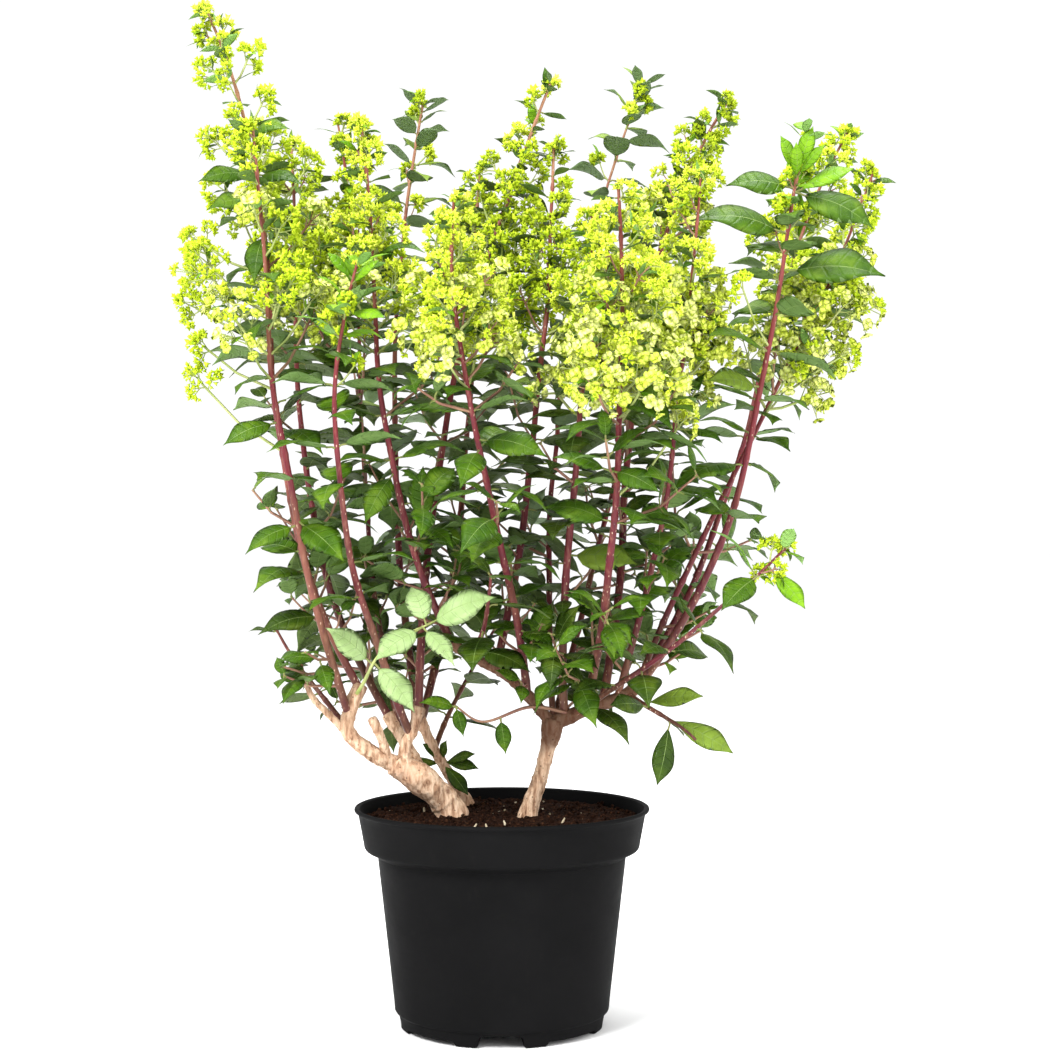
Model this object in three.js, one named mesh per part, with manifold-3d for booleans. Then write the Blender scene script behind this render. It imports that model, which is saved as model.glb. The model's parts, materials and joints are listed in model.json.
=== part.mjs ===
// Potted panicle hydrangea: three pruned trunks in a round nursery pot, red flowering shoots above.
// Millimetres, +Z up. The origin is the centre of the pot's flat underside, and -Y is the front.
import * as THREE from 'three';
import { mergeVertices } from 'three/addons/utils/BufferGeometryUtils.js';
import Module from 'manifold-3d';

const wasm = await Module();
wasm.setup();

// Overall sizes
const clearance = 0.3; // between neighbouring pieces
const finest = 0.08; // joins and cuts leave no edge shorter than this
const soilLevel = 182; // where the trunks meet the soil
const crownLow = [-292, -262, 205]; // how far leaves and blossom reach
const crownHigh = [334, 272, 896];

// Pot
const pot = {
  sides: 26,
  height: 192,
  wall: 2.2,
  lipRadius: 130,
  lipDepth: 4,
  bandTopRadius: 126.5,
  bandBottomRadius: 121.5,
  bandBottom: 154.5,
  bodyTopRadius: 109.5,
  bodyBottomRadius: 94.5,
  bodyBottom: 16,
  footRadius: 90,
  footWidth: 8,
  floorHeight: 9,
  floorRound: 3,
  hubRadius: 32,
  edgeRound: 4,
  lipRound: 1.4,
};
// Notches in the foot: deep ones at the front, back and sides, and shallow ones between them
const footNotches = [
  { width: 41, height: 10, turn: 0 },
  { width: 58, height: 3.5, turn: Math.PI / 4 },
];
const notchCount = 4;
const soilInset = 0.6; // between the soil's side and the pot's wall

// Trunks: the path starts below the soil and is cut flat at it
const trunks = {
  trunk_left: {
    path: [[-38, 7, 166], [-45, 4, 186], [-66, -6, 212], [-94, -14, 231]],
    radii: [16.5, 13.5], flare: 4, knob: { at: 0.72, by: 2.5 }, sides: 10, rings: 6,
  },
  trunk_back: {
    path: [[-26, 80, 168], [-42, 70, 200], [-64, 58, 238], [-80, 48, 278]],
    radii: [7, 5.2], flare: 3, knob: { at: 0.97, by: 1.5 }, sides: 7, rings: 5,
  },
  trunk_right: {
    path: [[19, 6, 166], [25, 4, 190], [37, 2, 228], [46, 0, 268]],
    radii: [8.5, 7.5], flare: 4.5, knob: { at: 0.96, by: 4 }, sides: 8, rings: 7,
  },
};

// Old wood: limbs that branch from the trunks, and the ends of two pruned ones
const limbs = {
  limb_left: {
    from: 'trunk_left', at: 0.97,
    path: [[-112, -22, 240], [-134, -30, 262], [-130, -26, 284], [-123, -22, 300]],
    radii: [9.5, 6.2], knob: { at: 0.97, by: 1.6 }, sides: 7, rings: 6,
  },
  limb_mid: {
    from: 'trunk_left', at: 0.62,
    path: [[-76, 14, 228], [-90, 24, 250], [-103, 27, 270]],
    radii: [7.5, 5.6], knob: { at: 0.96, by: 1.6 }, sides: 6, rings: 4,
  },
  limb_inner: {
    from: 'trunk_left', at: 0.9,
    path: [[-84, -16, 248], [-77, -14, 262], [-72, -12, 280]],
    radii: [7.5, 5.2], knob: { at: 0.95, by: 1.5 }, sides: 6, rings: 4,
  },
  limb_right: {
    from: 'trunk_right', at: 0.97,
    path: [[62, -1, 272], [82, -4, 281], [106, -2, 288], [126, 2, 303]],
    radii: [8.5, 6.2], knob: { at: 0.96, by: 1.8 }, sides: 7, rings: 6,
  },
  limb_crossing: {
    from: 'trunk_right', at: 0.95,
    path: [[28, -4, 284], [6, -6, 306], [-22, -10, 322], [-46, -14, 337]],
    radii: [6.5, 4.6], knob: { at: 0.96, by: 1.4 }, sides: 6, rings: 6,
  },
  stub_left: {
    from: 'limb_left', at: 0.45,
    path: [[-150, -34, 276], [-164, -37, 292], [-177, -40, 327]],
    radii: [4.4, 2.6], sides: 5, rings: 3,
  },
  stub_pruned: {
    from: 'limb_left', at: 0.08,
    path: [[-106, -30, 258], [-112, -36, 272]],
    radii: [5.4, 4.4], sides: 6, rings: 2,
  },
};

// Shoots: tip is the furthest point, low and high are how far the shoot bows in X and Y at a third
// and two thirds of its way, bloom is the length of the panicle and reach that of its longest spray
const shoots = {
  tall_left: { from: 'limb_left', at: 0.97, tip: [-259, -20, 891], low: [-70, -30], high: [50, -10],
    bloom: 270, reach: 106 },
  left_front: { from: 'limb_left', at: 0.72, tip: [-209, -85, 776], low: [-25, -65], high: [-10, -35],
    bloom: 190, reach: 84 },
  left_back: { from: 'limb_mid', at: 0.93, tip: [-201, 125, 804], low: [-80, -5], high: [-20, 35],
    bloom: 200, reach: 84 },
  bright_front: { from: 'limb_inner', at: 0.55, tip: [-116, -140, 654], low: [-40, -10], high: [-50, -40] },
  left_mid: { from: 'limb_mid', at: 0.7, tip: [-148, 30, 802], low: [-30, 30], high: [15, 10],
    bloom: 190, reach: 70 },
  crossing: { from: 'limb_crossing', at: 0.97, tip: [-119, -75, 780], low: [-50, -45], high: [-5, -15],
    bloom: 190, reach: 72 },
  leaning: { from: 'limb_inner', at: 0.95, tip: [45, 95, 852], low: [-40, -20], high: [-40, 35],
    bloom: 200, reach: 74 },
  back_left: { from: 'trunk_back', at: 0.97, tip: [-79, 190, 852], low: [-30, 5], high: [-35, 45] },
  back_mid: { from: 'trunk_back', at: 0.86, tip: [-24, 220, 796], low: [30, 35], high: [5, 65],
    bloom: 190, reach: 80 },
  front_left: { from: 'limb_crossing', at: 0.3, tip: [-36, -175, 700], low: [5, 0], high: [-35, -50],
    bloom: 190, reach: 80 },
  mid: { from: 'limb_crossing', at: 0.6, tip: [46, 40, 784], low: [15, 25], high: [15, 0],
    bloom: 180, reach: 68 },
  back_high: { from: 'trunk_right', at: 0.98, tip: [135, 180, 868], low: [-45, 0], high: [-50, 45] },
  centre: { from: 'limb_right', at: 0.12, tip: [77, -75, 706], low: [-20, 5], high: [15, -10],
    bloom: 150, reach: 64 },
  front_right: { from: 'limb_right', at: 0.34, tip: [94, -190, 708], low: [25, -10], high: [15, -55],
    bloom: 200, reach: 88 },
  right_back: { from: 'limb_right', at: 0.52, tip: [214, 140, 844], low: [0, 20], high: [-80, 25],
    bloom: 190, reach: 72 },
  right_inner: { from: 'limb_right', at: 0.66, tip: [167, -100, 732], low: [25, 25], high: [10, -45],
    bloom: 170, reach: 72 },
  right_leafy: { from: 'limb_right', at: 0.97, tip: [257, -85, 770], low: [65, -55], high: [10, -20] },
  right_far: { from: 'limb_right', at: 0.93, tip: [328, 0, 752], low: [-15, 5], high: [15, -5],
    bloom: 190, reach: 74 },
  right_rear: { from: 'limb_right', at: 0.84, tip: [321, 90, 806], low: [60, 50], high: [-30, 25],
    bloom: 190, reach: 76 },
  back_right: { from: 'trunk_right', at: 0.9, tip: [159, 230, 776], low: [10, 45], high: [30, 75],
    bloom: 200, reach: 84 },
};
const boughShare = 0.24; // of a shoot's length is bare bough, and the rest is the stem of its mass
const shootRadii = { foot: 4.6, top: 3.9, tip: 2 };
const shootSides = { bough: 5, stem: 4 };

// Low leafy twigs that spring from the old wood, in the same terms
const lowTwigs = {
  low_pale: { from: 'limb_left', at: 0.9, tip: [-62, -98, 356], low: [-6, -30], high: [-34, -12],
    leaf: 62, spacing: 34 },
  low_left: { from: 'limb_left', at: 0.6, tip: [-222, 6, 372], low: [-6, 20], high: [-8, 14],
    leaf: 58, spacing: 40 },
  low_centre: { from: 'limb_crossing', at: 0.8, tip: [-8, -96, 398], low: [4, -26], high: [4, -16],
    leaf: 58, spacing: 34 },
  low_back: { from: 'trunk_back', at: 0.62, tip: [-2, 128, 352], low: [-4, 26], high: [-6, 12],
    leaf: 56, spacing: 42 },
  low_right: { from: 'limb_right', at: 0.78, tip: [166, -58, 256], low: [4, -30], high: [10, -18],
    leaf: 62, spacing: 30 },
  low_whip: { from: 'limb_right', at: 0.2, tip: [238, -92, 420], low: [6, -62], high: [10, -50],
    leaf: 56, spacing: 48 },
};
const twigRadii = { foot: 2.8, tip: 1.7 };
const crownSeed = 11;
const twigSeed = 51;

// Leaves: shares of the leaf's own length, but for the length itself and the spacing up the stem
const leaf = {
  length: 76, width: 0.58, thick: 0.03, widest: 0.4, fold: 0.07, arch: 0.05, droop: 0.16,
  spacing: 66, closeSpacing: 60, youngest: 0.62, fullGrownAt: 150,
  rise: { young: 0.55, old: 0.25, oldAt: 300 }, rootDepth: 0.4,
};
// Blossom sprays: a stalk that opens into a head, with the shares of its length where it widens
const spray = {
  shortest: 26, spacing: 42, stalk: 1.1, head: { least: 11, most: 25 },
  opens: 0.45, widest: 0.76, rise: { top: 0.72, bottom: 0.47 }, rootDepth: 0.1,
};
const tipLength = 24; // the bud head or young leaves beyond the stem's end
const firstPair = 40; // from the tip down to the first pair of sprays or leaves
const footRoom = 14; // bare stem at the foot of each mass
const interlock = 24; // how far one mass's leaves may reach past the middle line to the next stem
const placeStep = 18; // between the places on a stem that its space is measured from
const sizesTried = [1, 0.84, 0.68];
const turnsTried = [0, 0.45, -0.45, 0.9, -0.9];
const jitter = { turn: 0.3, rise: 0.25, size: 0.24, head: 0.2 };

const colours = {
  plastic: { color: 0x17181a, roughness: 0.42, metalness: 0 },
  peat: { color: 0x2a1a12, roughness: 0.95, metalness: 0 },
  bark: { color: 0xb79a78, roughness: 0.85, metalness: 0 },
  redShoot: { color: 0x7a3348, roughness: 0.55, metalness: 0 },
  blossom: { color: 0xa3bf3a, roughness: 0.7, metalness: 0 },
  leafGreen: { color: 0x3f6b26, roughness: 0.6, metalness: 0 },
};

const plant = new THREE.Group();
const wood = {}; // every trunk, limb and bough by name
const taken = []; // what new leaves have to keep clear of

function seededRandom(seed) {
  let state = seed;
  return () => {
    state = (Math.imul(state, 1664525) + 1013904223) >>> 0;
    return state / 4294967296;
  };
}

// A closed geometry as a solid that can be joined and cut
function solidOf(geometry) {
  const bare = geometry.clone();
  bare.deleteAttribute('normal');
  bare.deleteAttribute('uv');
  const merged = mergeVertices(bare, 1e-4);
  const index = merged.index.array;
  const triangles = [];
  for (let i = 0; i < index.length; i += 3) {
    const [a, b, c] = [index[i], index[i + 1], index[i + 2]];
    if (a !== b && b !== c && c !== a) triangles.push(a, b, c);
  }
  return new wasm.Manifold(new wasm.Mesh({
    numProp: 3,
    vertProperties: new Float32Array(merged.attributes.position.array),
    triVerts: new Uint32Array(triangles),
  }));
}

// The largest body of a solid, which fills a sealed hollow and drops a loose scrap
function largest(solid) {
  return solid.decompose().reduce((most, body) => (body.volume() > most.volume() ? body : most));
}

function geometryOf(solid) {
  const mesh = largest(solid.simplify(finest)).getMesh();
  const geometry = new THREE.BufferGeometry();
  geometry.setAttribute('position', new THREE.BufferAttribute(new Float32Array(mesh.vertProperties), 3));
  geometry.setIndex(new THREE.BufferAttribute(new Uint32Array(mesh.triVerts), 1));
  geometry.computeVertexNormals();
  return geometry;
}

function addPiece(name, solid, finish) {
  const mesh = new THREE.Mesh(geometryOf(solid), new THREE.MeshStandardMaterial(finish));
  mesh.name = name;
  plant.add(mesh);
}

// Moves each point of a geometry to where the rule puts it
function reshape(geometry, rule) {
  const places = geometry.attributes.position;
  for (let i = 0; i < places.count; i += 1) {
    const moved = rule(places.getX(i), places.getY(i), places.getZ(i));
    places.setXYZ(i, moved.x, moved.y, moved.z);
  }
  return geometry;
}

function turned(profile, sides) {
  const points = profile.map(([radius, height]) => new THREE.Vector2(radius, height));
  return solidOf(new THREE.LatheGeometry(points, sides).rotateX(Math.PI / 2));
}

// Point and directions on a curve: along it, and the two across it nearest to +X and +Y
function frameAt(curve, share) {
  const along = curve.getTangentAt(share);
  const back = new THREE.Vector3(0, 1, 0).addScaledVector(along, -along.y).normalize();
  const right = new THREE.Vector3().crossVectors(back, along);
  return { at: curve.getPointAt(share), along, back, right };
}

// A closed rod along part of a curve, whose radius follows a rule; grow makes it fatter and longer
function rod(curve, radiusAt, { sides, rings, start = 0, end = 1, spin = 0, grow = 0 }) {
  const cylinder = new THREE.CylinderGeometry(1, 1, 1, sides, rings).rotateY(spin);
  return solidOf(reshape(cylinder, (x, y, z) => {
    const share = start + (end - start) * (y + 0.5);
    const frame = frameAt(curve, share);
    const radius = radiusAt(share) + grow;
    const overrun = Math.abs(y) === 0.5 ? grow * Math.sign(y) : 0;
    return frame.at.addScaledVector(frame.back, x * radius)
      .addScaledVector(frame.right, z * radius)
      .addScaledVector(frame.along, overrun);
  }));
}

function vector(place) {
  return new THREE.Vector3(...place);
}

// Radius along a limb: an even taper, with a flared foot and a knob where it was pruned
function taper({ radii, flare = 0, knob = { at: 0, by: 0 } }) {
  const [flareFall, knobReach] = [5, 0.14];
  return (share) => THREE.MathUtils.lerp(radii[0], radii[1], share)
    + flare * (1 - share) ** flareFall
    + knob.by * Math.exp(-(((share - knob.at) / knobReach) ** 2));
}

function boxOf(solid) {
  const { vertProperties } = solid.getMesh();
  return new THREE.Box3().setFromArray(vertProperties);
}

function remember(owner, solid, from = 0) {
  taken.push({ owner, solid, from, box: boxOf(solid) });
}

// Cuts a new piece clear of the wood that is already there
function cutClear(solid) {
  const box = boxOf(solid);
  return Object.values(wood)
    .filter((piece) => piece.box.intersectsBox(box))
    .reduce((rest, piece) => rest.subtract(piece.grown), solid);
}

function keepWood(name, curve, radiusAt, shape, solid, finish) {
  const grown = rod(curve, radiusAt, { ...shape, grow: clearance });
  wood[name] = { curve, grown, box: boxOf(grown) };
  remember(name, solid);
  addPiece(name, solid, finish);
}

// Radius and height of the pot's outside, from the middle of its underside to the lip
function potOutside() {
  const { edgeRound, floorRound, lipRound } = pot;
  const footInner = pot.footRadius - pot.footWidth;
  const lipBottom = pot.height - pot.lipDepth;
  return [
    [0, 0],
    [pot.hubRadius, 0],
    [pot.hubRadius + floorRound, pot.floorHeight],
    [footInner - 1, pot.floorHeight],
    [footInner, 0],
    [pot.footRadius, 0],
    [pot.footRadius + lipRound, pot.bodyBottom - edgeRound],
    [pot.bodyBottomRadius, pot.bodyBottom],
    [pot.bodyTopRadius, pot.bandBottom - edgeRound],
    [pot.bandBottomRadius - edgeRound, pot.bandBottom - edgeRound / 2],
    [pot.bandBottomRadius, pot.bandBottom + edgeRound],
    [pot.bandTopRadius, lipBottom - edgeRound / 2],
    [pot.lipRadius, lipBottom],
    [pot.lipRadius, pot.height - lipRound],
    [pot.lipRadius - lipRound, pot.height],
  ];
}

// Radius and height of the pot's inside, from the lip down to the middle of its floor
function potInside() {
  const slope = (pot.bodyTopRadius - pot.bodyBottomRadius) / (pot.bandBottom - pot.bodyBottom);
  const floorTop = pot.floorHeight + pot.wall;
  const cornerRadius = pot.bodyBottomRadius - slope * pot.edgeRound - pot.wall;
  return [
    [pot.bandTopRadius - pot.wall, pot.height - pot.lipDepth],
    [pot.bandBottomRadius - pot.wall, pot.bandBottom + pot.edgeRound + pot.wall / 2],
    [pot.bodyTopRadius - pot.wall, pot.bandBottom],
    [cornerRadius, floorTop + pot.floorRound],
    [cornerRadius - pot.floorRound, floorTop],
    [pot.hubRadius + pot.floorRound - pot.wall, floorTop],
    [pot.hubRadius - pot.wall, pot.wall],
    [0, pot.wall],
  ];
}

function makePot() {
  let shell = turned([...potOutside(), ...potInside()], pot.sides);
  for (const { width, height, turn } of footNotches) {
    for (let i = 0; i < notchCount; i += 1) {
      const cutter = new THREE.BoxGeometry(width, 3 * pot.footWidth, 2 * height);
      cutter.translate(0, -pot.footRadius, 0).rotateZ(turn + (i / notchCount) * Math.PI * 2);
      shell = shell.subtract(solidOf(cutter));
    }
  }
  addPiece('pot', shell, colours.plastic);
}

// The soil fills the pot to its level, a little inside the wall
function makeSoil() {
  const [lip, bandLow, ...lower] = potInside();
  const widening = (lip[0] - bandLow[0]) / (lip[1] - bandLow[1]);
  const topRadius = bandLow[0] + widening * (soilLevel - bandLow[1]) - soilInset;
  const side = [bandLow, ...lower].reverse()
    .map(([radius, height]) => [Math.max(radius - soilInset, 0), height + clearance]);
  const profile = [...side, [topRadius, soilLevel - clearance], [0, soilLevel - clearance]];
  addPiece('soil', turned(profile, pot.sides), colours.peat);
}

function makeTrunk(name, row) {
  const curve = new THREE.CatmullRomCurve3(row.path.map(vector));
  const shape = { sides: row.sides, rings: row.rings };
  const ground = solidOf(new THREE.BoxGeometry(2 * pot.lipRadius, 2 * pot.lipRadius, soilLevel)
    .translate(0, 0, soilLevel / 2));
  const solid = cutClear(rod(curve, taper(row), shape).subtract(ground));
  keepWood(name, curve, taper(row), shape, solid, colours.bark);
}

function makeLimb(name, row) {
  const foot = wood[row.from].curve.getPointAt(row.at);
  const curve = new THREE.CatmullRomCurve3([foot, ...row.path.map(vector)]);
  const shape = { sides: row.sides, rings: row.rings };
  keepWood(name, curve, taper(row), shape, cutClear(rod(curve, taper(row), shape)), colours.bark);
}

// The curve of a shoot or twig from its parent to its tip
function shootCurve(row) {
  const foot = wood[row.from].curve.getPointAt(row.at);
  const tip = vector(row.tip);
  const low = foot.clone().lerp(tip, 1 / 3).add(vector([...row.low, 0]));
  const high = foot.clone().lerp(tip, 2 / 3).add(vector([...row.high, 0]));
  return new THREE.CubicBezierCurve3(foot, low, high, tip);
}

function makeBough(name, row) {
  const curve = shootCurve(row);
  const radiusAt = (share) => THREE.MathUtils.lerp(shootRadii.foot, shootRadii.top, share / boughShare);
  const shape = { sides: shootSides.bough, rings: 3, end: boughShare };
  const solid = cutClear(rod(curve, radiusAt, shape));
  keepWood(`bough_${name}`, curve, radiusAt, shape, solid, colours.redShoot);
}

// One leaf of eight faces, its root sunk in the stem, folded along the rib and drooping at the tip
function leafSolid({ root, out, up, length }, grow = 0) {
  const side = new THREE.Vector3().crossVectors(up, out);
  const halfWidth = (leaf.width * length) / 2 + grow;
  const halfThick = (leaf.thick * length) / 2 + grow;
  const reaches = [-grow, leaf.widest * length, length + grow];
  const lifts = [0, leaf.arch * length, -leaf.droop * length];
  return solidOf(reshape(new THREE.OctahedronGeometry(1, 0), (x, y, z) => {
    const step = Math.round(x) + 1;
    return root.clone().addScaledVector(out, reaches[step])
      .addScaledVector(side, y * halfWidth)
      .addScaledVector(up, z * halfThick + lifts[step] + Math.abs(y) * leaf.fold * length);
  }));
}

// One spray of blossom: a stalk that opens into a rounded head
function spraySolid({ root, out, up, length, head }, grow = 0) {
  const side = new THREE.Vector3().crossVectors(up, out);
  const reaches = [-grow, length * spray.opens, length * spray.widest, length + grow];
  const radii = [spray.stalk + grow, spray.stalk + grow, head + grow, 0];
  const steps = radii.length - 1;
  return solidOf(reshape(new THREE.ConeGeometry(1, 1, 4, steps), (x, y, z) => {
    const step = Math.round((y + 0.5) * steps);
    const across = Math.hypot(x, z) || 1;
    return root.clone().addScaledVector(out, reaches[step])
      .addScaledVector(up, (x / across) * radii[step])
      .addScaledVector(side, (z / across) * radii[step]);
  }));
}

// The bud head that ends a panicle, reaching from inside the stem's end to the tip
function budHead({ at, along, back, right }) {
  const half = tipLength / 2;
  return solidOf(reshape(new THREE.OctahedronGeometry(half, 0), (x, y, z) => at.clone()
    .addScaledVector(right, x)
    .addScaledVector(back, y)
    .addScaledVector(along, z - half)));
}

// Where a leaf or spray stands: its root beyond the stem's middle, its direction and its upper side
function placing(mass, { kind, from, turn, rise, length, head }) {
  const share = THREE.MathUtils.clamp(1 - from / mass.length, 0, 1);
  const frame = frameAt(mass.curve, share);
  const level = frame.right.multiplyScalar(Math.cos(turn)).addScaledVector(frame.back, Math.sin(turn));
  const out = level.clone().multiplyScalar(Math.cos(rise)).addScaledVector(frame.along, Math.sin(rise));
  const up = frame.along.clone().multiplyScalar(Math.cos(rise)).addScaledVector(level, -Math.sin(rise));
  const root = frame.at.clone().addScaledVector(out, -kind.rootDepth * mass.radiusAt(share));
  return { root, out, up, length, head };
}

// Two leaves or sprays that face each other, each a little off the rule's size and direction
function pair(random, wish) {
  const vary = (value, share) => value * (1 + (random() - 0.5) * share);
  return [0, Math.PI].map((half) => ({
    ...wish,
    turn: wish.turn + half + (random() - 0.5) * jitter.turn,
    rise: wish.rise + (random() - 0.5) * jitter.rise,
    length: vary(wish.length, jitter.size),
    head: vary(wish.head, jitter.head),
  }));
}

// The seeded rule of growth, from the tip down: pairs at right angles to the pair above
function growth(mass) {
  const { bloom = 0, reach = 0, leaf: fullLeaf = leaf.length } = mass.row;
  const leafSpacing = mass.row.spacing ?? (bloom ? leaf.spacing : leaf.closeSpacing);
  const room = mass.length * (1 - mass.start) - footRoom;
  const wished = [];
  let turn = mass.spin + Math.PI / 4;
  let from = firstPair;
  for (; from < Math.min(bloom, room); from += spray.spacing) {
    const share = from / bloom;
    const rise = THREE.MathUtils.lerp(spray.rise.top, spray.rise.bottom, share);
    const length = THREE.MathUtils.lerp(spray.shortest, reach, share);
    const head = THREE.MathUtils.lerp(spray.head.least, spray.head.most, share);
    wished.push(...pair(mass.random, { mass, kind: spray, from, turn, rise, length, head }));
    turn += Math.PI / 2;
  }
  for (; from < room; from += leafSpacing) {
    const age = bloom ? 1 : Math.min(1, from / leaf.fullGrownAt);
    const length = fullLeaf * THREE.MathUtils.lerp(leaf.youngest, 1, age);
    const low = Math.min(1, from / leaf.rise.oldAt);
    const rise = THREE.MathUtils.lerp(leaf.rise.young, leaf.rise.old, low);
    wished.push(...pair(mass.random, { mass, kind: leaf, from, turn, rise, length, head: 0 }));
    turn += Math.PI / 2;
  }
  return wished;
}

function nearest(point, places) {
  return Math.min(...places.map((place) => place.distanceTo(point)));
}

function inOwnSpace(mass, box, tip) {
  const inCrown = crownLow.every((limit, axis) => box.min.getComponent(axis) > limit)
    && crownHigh.every((limit, axis) => box.max.getComponent(axis) < limit);
  const own = nearest(tip, mass.places) - interlock;
  return inCrown && masses.every((other) => other === mass || nearest(tip, other.places) > own);
}

// A leaf may touch only its own stem and the leaf that it is paired with
function mayTouch(wish, other) {
  return other.owner === wish.mass.name && (other.from === 0 || other.from === wish.from);
}

// A leaf or spray is turned or shortened a little to find room, and skipped where there is none
function grow(wish) {
  const makeSolid = wish.kind === leaf ? leafSolid : spraySolid;
  for (const size of sizesTried) {
    for (const swing of turnsTried) {
      const place = placing(wish.mass, { ...wish, turn: wish.turn + swing, length: wish.length * size });
      const wide = makeSolid(place, 2 * clearance);
      const box = boxOf(wide);
      const tip = place.root.clone().addScaledVector(place.out, place.length);
      const clear = inOwnSpace(wish.mass, box, tip) && taken.every((other) => mayTouch(wish, other)
        || !other.box.intersectsBox(box) || wide.intersect(other.solid).isEmpty());
      if (clear) {
        const solid = makeSolid(place);
        remember(wish.mass.name, solid, wish.from);
        wish.mass.solid = wish.mass.solid.add(solid);
        return;
      }
    }
  }
}

// The stem of a mass, which goes on from the bough's end or from the old wood, and its places
function makeMass(name, row, seed, { curve, start, radii }) {
  const random = seededRandom(seed);
  const length = curve.getLength();
  const end = 1 - (0.7 * tipLength) / length;
  const radiusAt = (share) => THREE.MathUtils.lerp(radii[0], radii[1], (share - start) / (end - start));
  const spin = random();
  const shape = { sides: shootSides.stem, rings: 4, start: start + clearance / length, end, spin };
  const stem = rod(curve, radiusAt, shape);
  const solid = start ? stem : cutClear(stem);
  const places = [];
  for (let share = start; share < 1; share += placeStep / length) places.push(curve.getPointAt(share));
  remember(name, solid);
  return { name, row, random, curve, length, start, spin, radiusAt, solid, places };
}

// A bud head or a pair of young leaves ends each stem
function endStem(mass) {
  if (mass.row.bloom) {
    mass.solid = mass.solid.add(budHead(frameAt(mass.curve, 1)));
    return;
  }
  const young = { mass, kind: leaf, from: tipLength, rise: 0.9, length: 1.8 * tipLength, head: 0 };
  for (const half of [0, Math.PI]) {
    grow({ ...young, turn: mass.spin + Math.PI / 4 + half });
  }
}

makePot();
makeSoil();
Object.entries(trunks).forEach(([name, row]) => makeTrunk(name, row));
Object.entries(limbs).forEach(([name, row]) => makeLimb(name, row));
Object.entries(shoots).forEach(([name, row]) => makeBough(name, row));

const masses = [
  ...Object.entries(shoots).map(([name, row], i) => makeMass(`crown_${name}`, row, crownSeed + i, {
    curve: wood[`bough_${name}`].curve, start: boughShare, radii: [shootRadii.top, shootRadii.tip],
  })),
  ...Object.entries(lowTwigs).map(([name, row], i) => makeMass(name, row, twigSeed + i, {
    curve: shootCurve(row), start: 0, radii: [twigRadii.foot, twigRadii.tip],
  })),
];
masses.forEach(endStem);
masses.flatMap(growth)
  .sort((one, other) => one.from - other.from)
  .forEach(grow);
masses.forEach((mass) => {
  addPiece(mass.name, mass.solid, mass.row.bloom ? colours.blossom : colours.leafGreen);
});

export default plant;
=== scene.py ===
# Potted panicle hydrangea: bark, red shoots, toothed leaves, blossom sprays, pot and soil around the frame.
# Metres, +Z up. The origin is the centre of the pot's flat underside, and -Y is the front.
import json
import math
from itertools import count as numbering, product
from random import Random
import bmesh
import bpy
import numpy as np
from mathutils import Matrix, Vector, noise

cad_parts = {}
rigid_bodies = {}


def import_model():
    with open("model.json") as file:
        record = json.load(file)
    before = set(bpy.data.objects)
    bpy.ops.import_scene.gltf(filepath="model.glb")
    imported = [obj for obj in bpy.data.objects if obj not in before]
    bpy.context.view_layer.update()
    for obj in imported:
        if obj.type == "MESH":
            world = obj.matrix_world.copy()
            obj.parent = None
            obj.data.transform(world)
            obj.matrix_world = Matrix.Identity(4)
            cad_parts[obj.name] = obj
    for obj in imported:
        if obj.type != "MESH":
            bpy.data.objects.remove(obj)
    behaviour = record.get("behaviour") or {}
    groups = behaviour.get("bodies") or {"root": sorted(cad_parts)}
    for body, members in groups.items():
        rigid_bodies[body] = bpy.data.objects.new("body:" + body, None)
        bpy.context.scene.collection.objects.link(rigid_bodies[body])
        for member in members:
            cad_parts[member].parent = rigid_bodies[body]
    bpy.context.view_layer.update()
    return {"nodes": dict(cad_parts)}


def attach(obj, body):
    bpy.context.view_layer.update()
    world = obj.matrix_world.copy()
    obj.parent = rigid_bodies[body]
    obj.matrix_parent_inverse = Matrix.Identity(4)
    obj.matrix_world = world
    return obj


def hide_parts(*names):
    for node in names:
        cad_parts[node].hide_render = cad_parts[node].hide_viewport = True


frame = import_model()
print("frame loaded:", len(frame["nodes"]), "nodes")

# Overall sizes, as in the part's source
soilLevel = 0.182
crownLow = np.array([-0.292, -0.262, 0.205])  # how far leaves and blossom reach
crownHigh = np.array([0.334, 0.272, 0.896])
boughShare = 0.24  # bare lower part of a shoot
goldenTurn = 2.4  # from one leaf, twig or bud to the next round a stem

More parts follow.
